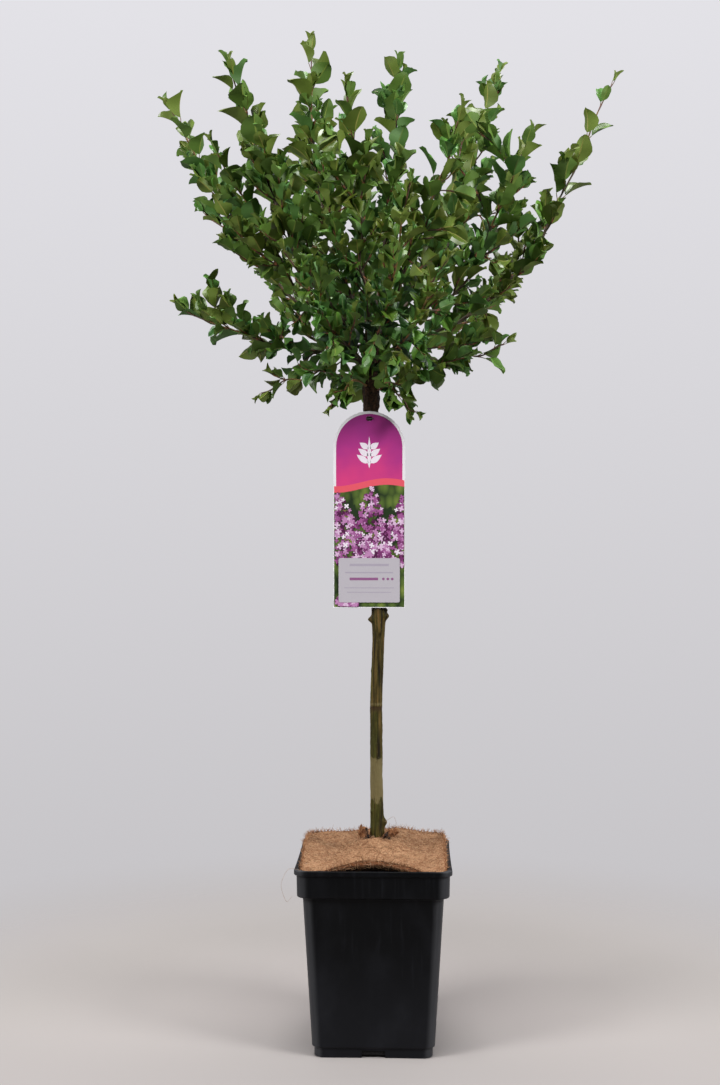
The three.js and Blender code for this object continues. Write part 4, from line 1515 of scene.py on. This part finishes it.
# %% Card and loop
tag_low, tag_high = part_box("tag_card")
TAG_HALF = (tag_high.x - tag_low.x) / 2
TAG_MIDDLE = (tag_high.x + tag_low.x) / 2
TAG_FRONT = tag_low.y
TAG_FOOT = tag_low.z
TAG_SHOULDER = tag_high.z - TAG_HALF
tie_low, tie_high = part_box("tag_tie")
HOLE_Z = (tie_low.z + tie_high.z) / 2

card = Finish("tag_white_card", (238, 236, 239), 0.5)
card.bump(card.cloud(card.place(), 900.0, 2.0), 0.0001, 0.2)
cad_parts["tag_card"].material_slots[0].material = card.material

LOOP_STEPS = 96
LOOP_AROUND = 10
LOOP_PINCH = 0.8
loop_radius = (tie_high.z - tie_low.z) / 2
loop_side = (tie_high.x - tie_low.x) / 2 - loop_radius
loop_points = []
for turn in np.arange(LOOP_STEPS) * 2 * math.pi / LOOP_STEPS:
    deep = tie_high.y if math.sin(turn) > 0 else -tie_low.y
    narrow = 1 - LOOP_PINCH * max(0.0, -math.sin(turn)) ** 1.5
    out = np.array([math.cos(turn) * loop_side * narrow, math.sin(turn) * (deep - loop_radius)])
    way = unit(out)
    for angle in -np.arange(LOOP_AROUND) * 2 * math.pi / LOOP_AROUND:
        x, y = out + way * loop_radius * math.cos(angle)
        loop_points.append((x + (tie_low.x + tie_high.x) / 2, y, HOLE_Z + loop_radius * math.sin(angle)))
loop_faces = ring_faces(LOOP_STEPS + 1, LOOP_AROUND) % len(loop_points)
nylon = Finish("tie_nylon", (62, 54, 56), 0.4)
finished(mesh_piece("tag_loop", loop_points, [loop_faces], [nylon.material], crease=80), "tie", "tag_tie")

# %% Plates, and the hole in the card


class Plates:
    """Flat plates parallel to the card, gathered into one piece."""

    def __init__(self):
        self.points, self.faces, self.slots = [], [], []
        self.count = 0

    def plate(self, outline, slot, front, back):
        """A plate between two depths, inside an outline that runs anticlockwise."""
        outline = np.asarray(outline, float)
        number = len(outline)
        for y in (front, back):
            self.points.append(np.stack([outline[:, 0] + TAG_MIDDLE, np.full(number, y), outline[:, 1]], 1))
        ring = np.arange(number) + self.count
        after = np.roll(ring, -1)
        walls = np.stack([ring, ring + number, after + number, after], 1)
        self.faces += [ring[None], ring[None, ::-1] + number, walls]
        self.slots += [slot] * (number + 2)
        self.count += 2 * number

    def piece(self, name, materials):
        points = np.vstack(self.points)
        return finished(mesh_piece(name, points, self.faces, materials, self.slots, 20), "card")


def arc(centre, radius, start, end, steps):
    angles = np.radians(np.linspace(start, end, steps))
    return [(centre[0] + radius * math.cos(a), centre[1] + radius * math.sin(a)) for a in angles]


def half_round(half, radius, side, steps):
    """The rounded end of a slot, from its foot to its top, on one side of the card's middle."""
    return [(side * x, z) for x, z in arc((half - radius, HOLE_Z), radius, -90, 90, steps)]


CARD_SLOT_HALF, CARD_SLOT_ROUND = 0.0106, 0.0026
HOLE_HALF, HOLE_ROUND = 0.0038, 0.0026
INSET = 0.00001

for side, word in ((-1, "left"), (1, "right")):
    outline = half_round(CARD_SLOT_HALF, CARD_SLOT_ROUND, side, 12)
    outline += half_round(HOLE_HALF, HOLE_ROUND, side, 12)[::-1]
    insert = Plates()
    insert.plate(outline[::side], 0, tag_low.y + INSET, tag_high.y - INSET)
    insert.piece(f"slot_end_{word}", [card.material])

# %% [markdown]
# The print lies on the card as thin plates, one over the other like the passes of a printer. The design is
# a generic one: a plum field under the arch with a white sprig, a coral ribbon, lilac blossom before green
# leaves, and a pale panel with plain bars where the words would be.

# %% Fields of the design
PRINT_THICK = 0.00003
BORDER = 0.003
EDGE = 0.0008
FIELD_Z = 0.634
RIBBON_WIDE = 0.0065
RIBBON_OVER = 0.0004
WAVE_TALL = 0.0045
PANEL_HALF, PANEL_FOOT, PANEL_TALL, PANEL_ROUND = 0.0345, TAG_FOOT + 0.006, 0.050, 0.002
RIBBON_LAYER, SPRIG_LAYER, PANEL_LAYER = 1, 2, 40


class Print(Plates):
    """Plates of ink on the front of the card, by layers; a higher layer lies further out."""

    def ink(self, outline, layer, slot):
        self.plate(outline, slot, TAG_FRONT - PRINT_THICK * (layer + 1), TAG_FRONT - PRINT_THICK * layer)


def wave(z, left, right):
    """Points of a gentle S from left to right."""
    xs = np.linspace(left, right, 24)
    return [(x, z + WAVE_TALL * math.sin(x / TAG_HALF * 2.2 + 0.5)) for x in xs]


plum = Finish("print_plum", (150, 34, 118), 0.35)
glow = plum.cloud(plum.place(), 26.0, 2.0) * 0.5 + plum.along("Z").between(0.62, 0.73) * 0.5
PLUMS = ((0.2, (220, 66, 130)), (0.5, (178, 54, 136)), (0.85, (140, 46, 122)))
plum.set("Base Color", plum.ramp(glow, *PLUMS))
leafy = Finish("print_leafy", (96, 128, 50), 0.35)
blades = leafy.cells(leafy.place((1, 1, 0.6)), 110.0)
LEAFY_GREENS = ((0.0, (132, 148, 66)), (0.45, (88, 110, 48)), (0.8, (36, 52, 28)))
leafy.set("Base Color", leafy.ramp(blades, *LEAFY_GREENS))
coral = Finish("print_coral", (236, 92, 108), 0.35)
panel = Finish("print_panel", (192, 187, 194), 0.4)

fields = Print()
inner = TAG_HALF - BORDER
edge = TAG_HALF - EDGE
for side in (-1, 1):
    hole = half_round(HOLE_HALF, HOLE_ROUND, side, 9)
    outline = [(0, HOLE_Z - HOLE_ROUND), *hole, (0, HOLE_Z + HOLE_ROUND)]
    outline += [(side * x, z) for x, z in arc((0, TAG_SHOULDER), inner, 90, 0, 20)]
    fields.ink((outline + wave(FIELD_Z, side * inner, 0))[::-side], 0, 0)
foot_z = TAG_FOOT + EDGE
ribbon_foot = FIELD_Z - RIBBON_WIDE
fields.ink([(-edge, foot_z), (edge, foot_z), *wave(ribbon_foot, edge, -edge)], 0, 1)
ribbon = wave(ribbon_foot - RIBBON_OVER, -edge, edge) + wave(FIELD_Z + RIBBON_OVER, edge, -edge)
fields.ink(ribbon, RIBBON_LAYER, 2)
rounded = []
for x, z, start in ((1, 1, 0), (-1, 1, 90), (-1, -1, 180), (1, -1, 270)):
    middle_z = PANEL_FOOT + PANEL_TALL / 2 + z * (PANEL_TALL / 2 - PANEL_ROUND)
    rounded += arc((x * (PANEL_HALF - PANEL_ROUND), middle_z), PANEL_ROUND, start, start + 90, 6)
fields.ink(rounded, PANEL_LAYER, 3)
fields.piece("tag_fields", [plum.material, leafy.material, coral.material, panel.material])

# %% [markdown]
# The blossom is hundreds of four-petalled florets, crowded into panicles that narrow to a point. The dark
# ones are laid first and the pale ones last, so that each panicle looks round.

# %% Blossom and leaves
PURPLES = [(226, 192, 222), (196, 138, 186), (164, 92, 150), (126, 56, 112), (84, 30, 72)]
WHITE = (244, 234, 244)
GREENS = [(128, 148, 58), (78, 108, 44), (38, 56, 30)]
GREYS = [(176, 168, 182), (150, 96, 140)]
WHITE_SLOT, GREEN_SLOT, GREY_SLOT = 5, 6, 9
GREEN_LEAVES = 26
FLORETS = 190
GREEN_STEP, FLORET_STEP = 0.1, 0.035
WHITE_CHANCE = 0.08
# foot, turn, length and width of each panicle
PANICLES = [
    (-0.018, 0.548, 1.85, 0.078, 0.042),
    (0.020, 0.546, 1.25, 0.076, 0.042),
    (0.002, 0.546, 1.56, 0.084, 0.044),
    (-0.026, 0.494, 1.2, 0.030, 0.024),
]


def turned(foot, turn, points):
    c, s = math.cos(turn), math.sin(turn)
    return [(foot[0] + c * x - s * z, foot[1] + s * x + c * z) for x, z in points]


def floret(middle, radius, turn):
    """The outline of a four-petalled floret."""
    angles = np.linspace(0, 2 * np.pi, 16, endpoint=False)
    far = radius * (0.36 + 0.64 * np.abs(np.cos(2 * angles)) ** 0.8)
    return turned(middle, turn, [(f * math.cos(a), f * math.sin(a)) for f, a in zip(far, angles)])


def blade(foot, turn, long, wide):
    """The outline of a pointed leaf."""
    share = np.linspace(0, 1, 9)
    half = wide * np.sin(np.pi * share**0.8)
    upper = [(x * long, h) for x, h in zip(share[-2:0:-1], half[-2:0:-1])]
    return turned(foot, turn, [(x * long, -h) for x, h in zip(share, half)] + upper)


marks = Print()
draw_print = np.random.default_rng(5)
layer = 1.0
for _ in range(GREEN_LEAVES):
    foot = (draw_print.uniform(-0.026, 0.026), draw_print.uniform(TAG_FOOT + 0.052, FIELD_Z - 0.030))
    turn = draw_print.uniform(0.3, 2.8)
    outline = blade(foot, turn, draw_print.uniform(0.011, 0.016), 0.0042)
    marks.ink(outline, layer, GREEN_SLOT + draw_print.integers(0, len(GREENS)))
    layer += GREEN_STEP
for x, z, turn, long, wide in PANICLES:
    for k in range(FLORETS):
        share = 1 - draw_print.random() ** 0.65
        off = draw_print.uniform(-0.5, 0.5) * wide * (1 - share) ** 0.5
        (middle_x, middle_z), = turned((x, z), turn, [(long * share, off)])
        radius = draw_print.uniform(0.0026, 0.0043) * (1 - 0.2 * share)
        tone = int(np.clip(draw_print.normal(4.6 - 3.6 * k / FLORETS, 1.0), 0, len(PURPLES) - 1))
        if draw_print.random() < WHITE_CHANCE:
            tone = WHITE_SLOT
        middle = (float(np.clip(middle_x, radius - edge, edge - radius)), max(middle_z, foot_z + radius))
        marks.ink(floret(middle, radius, draw_print.uniform(0, 1.5)), layer, tone)
        layer += FLORET_STEP

# %% Sprig and bars
# its middle beside the card's, its foot above the panel's, half length, height and which of the greys
BARS = [
    (0.0, 0.041, 0.022, 0.0026, 0),
    (0.0, 0.033, 0.027, 0.0014, 0),
    (-0.006, 0.025, 0.016, 0.0030, 1),
    (0.0, 0.016, 0.028, 0.0009, 0),
    (0.0, 0.011, 0.025, 0.0009, 0),
]
DOTS = (0.016, 0.021, 0.026)
BAR_LAYER = PANEL_LAYER + 1

marks.ink(blade((0, 0.650), 1.57, 0.036, 0.0022), SPRIG_LAYER, WHITE_SLOT)
for k in range(3):
    for side in (-1, 1):
        leaf = blade((side * 0.001, 0.656 + 0.008 * k), 1.57 - side * 0.95, 0.016 - 0.002 * k, 0.0034)
        marks.ink(leaf, SPRIG_LAYER, WHITE_SLOT)
for x, z, half, tall, tone in BARS:
    low = PANEL_FOOT + z
    corners = [(x - half, low), (x + half, low), (x + half, low + tall), (x - half, low + tall)]
    marks.ink(corners, BAR_LAYER, GREY_SLOT + tone)
for x in DOTS:
    marks.ink(arc((x, PANEL_FOOT + 0.0265), 0.0015, 0, 345, 24), BAR_LAYER, GREY_SLOT + 1)
marks.piece("tag_print", plain_finishes("print_ink", [*PURPLES, WHITE, *GREENS, *GREYS], 0.35))

# %% [markdown]
# ## The studio
# The plant stands on a plain pale floor that melts into the light around it, so nothing blocks the view
# from behind. It is painted a little darker in front of the pot, as painted shade, and it is darker far
# out, which gives the pot a place to stand on. Two large soft lights at either side draw pale edges on the
# black pot, helped by the painted reflection on its corners; a third from above brightens the leaves. The
# world looks like a paper backdrop, darker low down. The light that it sends to the plant is weaker than
# it looks, and weaker still from the front, so that the leaves keep their shadows.

# %% Floor
FLOOR_RADIUS = 1.0
FLOOR_AROUND = 96
floor_finish = Finish("studio_floor", (176, 170, 167), 0.9, specular_ior_level=0.2)
spot = floor_finish.place()
from_middle = floor_finish.node("ShaderNodeVectorMath", {"operation": "LENGTH"}, {0: spot}, "Value")
floor_tint = floor_finish.mix(from_middle.between(0.12, 0.50), (178, 171, 168), (154, 149, 146))
# In front of the pot the floor is painted darker: painted shade.
before = 1 - floor_finish.along("Y").between(-0.16, 0.12)
floor_finish.set("Base Color", floor_finish.mix(before, floor_tint, (150, 145, 143)))
clear = floor_finish.node("ShaderNodeBsdfTransparent", {}, {})
solid = Wire(floor_finish, floor_finish.shader.outputs[0])
fade = from_middle.between(0.42, FLOOR_RADIUS * 0.97)
surface = next(node for node in floor_finish.tree.nodes if node.type == "OUTPUT_MATERIAL").inputs["Surface"]
floor_finish.give(surface, floor_finish.node("ShaderNodeMixShader", {}, {0: fade, 1: solid, 2: clear}))
turns = np.linspace(0, 2 * math.pi, FLOOR_AROUND, endpoint=False)
disc = [(FLOOR_RADIUS * math.cos(a), FLOOR_RADIUS * math.sin(a), 0) for a in turns]
mesh_piece("studio_floor", disc, [np.arange(FLOOR_AROUND)[None]], [floor_finish.material])
print("floor:", 2 * FLOOR_RADIUS, "m across")

# %% Lights
AIM = np.array([0, 0, 0.6])
# name, place, width and power
LIGHTS = [
    ("left", (-1.8, -1.2, 1.7), 0.9, 45),
    ("right", (1.9, -1.1, 1.6), 0.9, 48),
    ("above", (-0.1, -0.5, 4.2), 1.6, 164),
]
for name, place, size, power in LIGHTS:
    lamp = bpy.data.lights.new(name, "AREA")
    lamp.shape = "DISK"
    lamp.size = size
    lamp.energy = power
    light = bpy.data.objects.new(name, lamp)
    light.location = place
    light.rotation_euler = Vector(AIM - np.array(place)).to_track_quat("-Z", "Y").to_euler()
    bpy.context.collection.objects.link(light)
print("lights:", len(LIGHTS))

# %% World
AMBIENT, AMBIENT_FRONT = 0.48, 0.12

world = bpy.data.worlds.new("studio")
bpy.context.scene.world = world
world.use_nodes = True
backdrop = Circuit(world.node_tree)
sky = world.node_tree.nodes["Background"].inputs


def graded(value, **limits):
    """A value stretched between limits, such as From_Min and To_Max."""
    named = {limit.replace("_", " "): number for limit, number in limits.items()}
    return backdrop.node("ShaderNodeMapRange", {}, {"Value": value, **named})


direction = backdrop.node("ShaderNodeTexCoord", {}, {}, "Generated")
upward, backward = (backdrop.part(direction, axis) for axis in ("Z", "Y"))
paper = backdrop.mix(graded(upward, From_Min=-0.25, From_Max=0.30), (198, 196, 199), (227, 226, 231))
room = graded(backward, From_Min=-1.0, From_Max=-0.2, To_Min=AMBIENT_FRONT, To_Max=AMBIENT)
seen = backdrop.node("ShaderNodeLightPath", {}, {}, "Is Camera Ray")
backdrop.give(sky["Color"], paper)
backdrop.give(sky["Strength"], graded(seen, To_Min=room, To_Max=1.0))
bpy.context.scene.view_settings.view_transform = "Standard"
print("world: ambient light", AMBIENT, "and from the front", AMBIENT_FRONT)
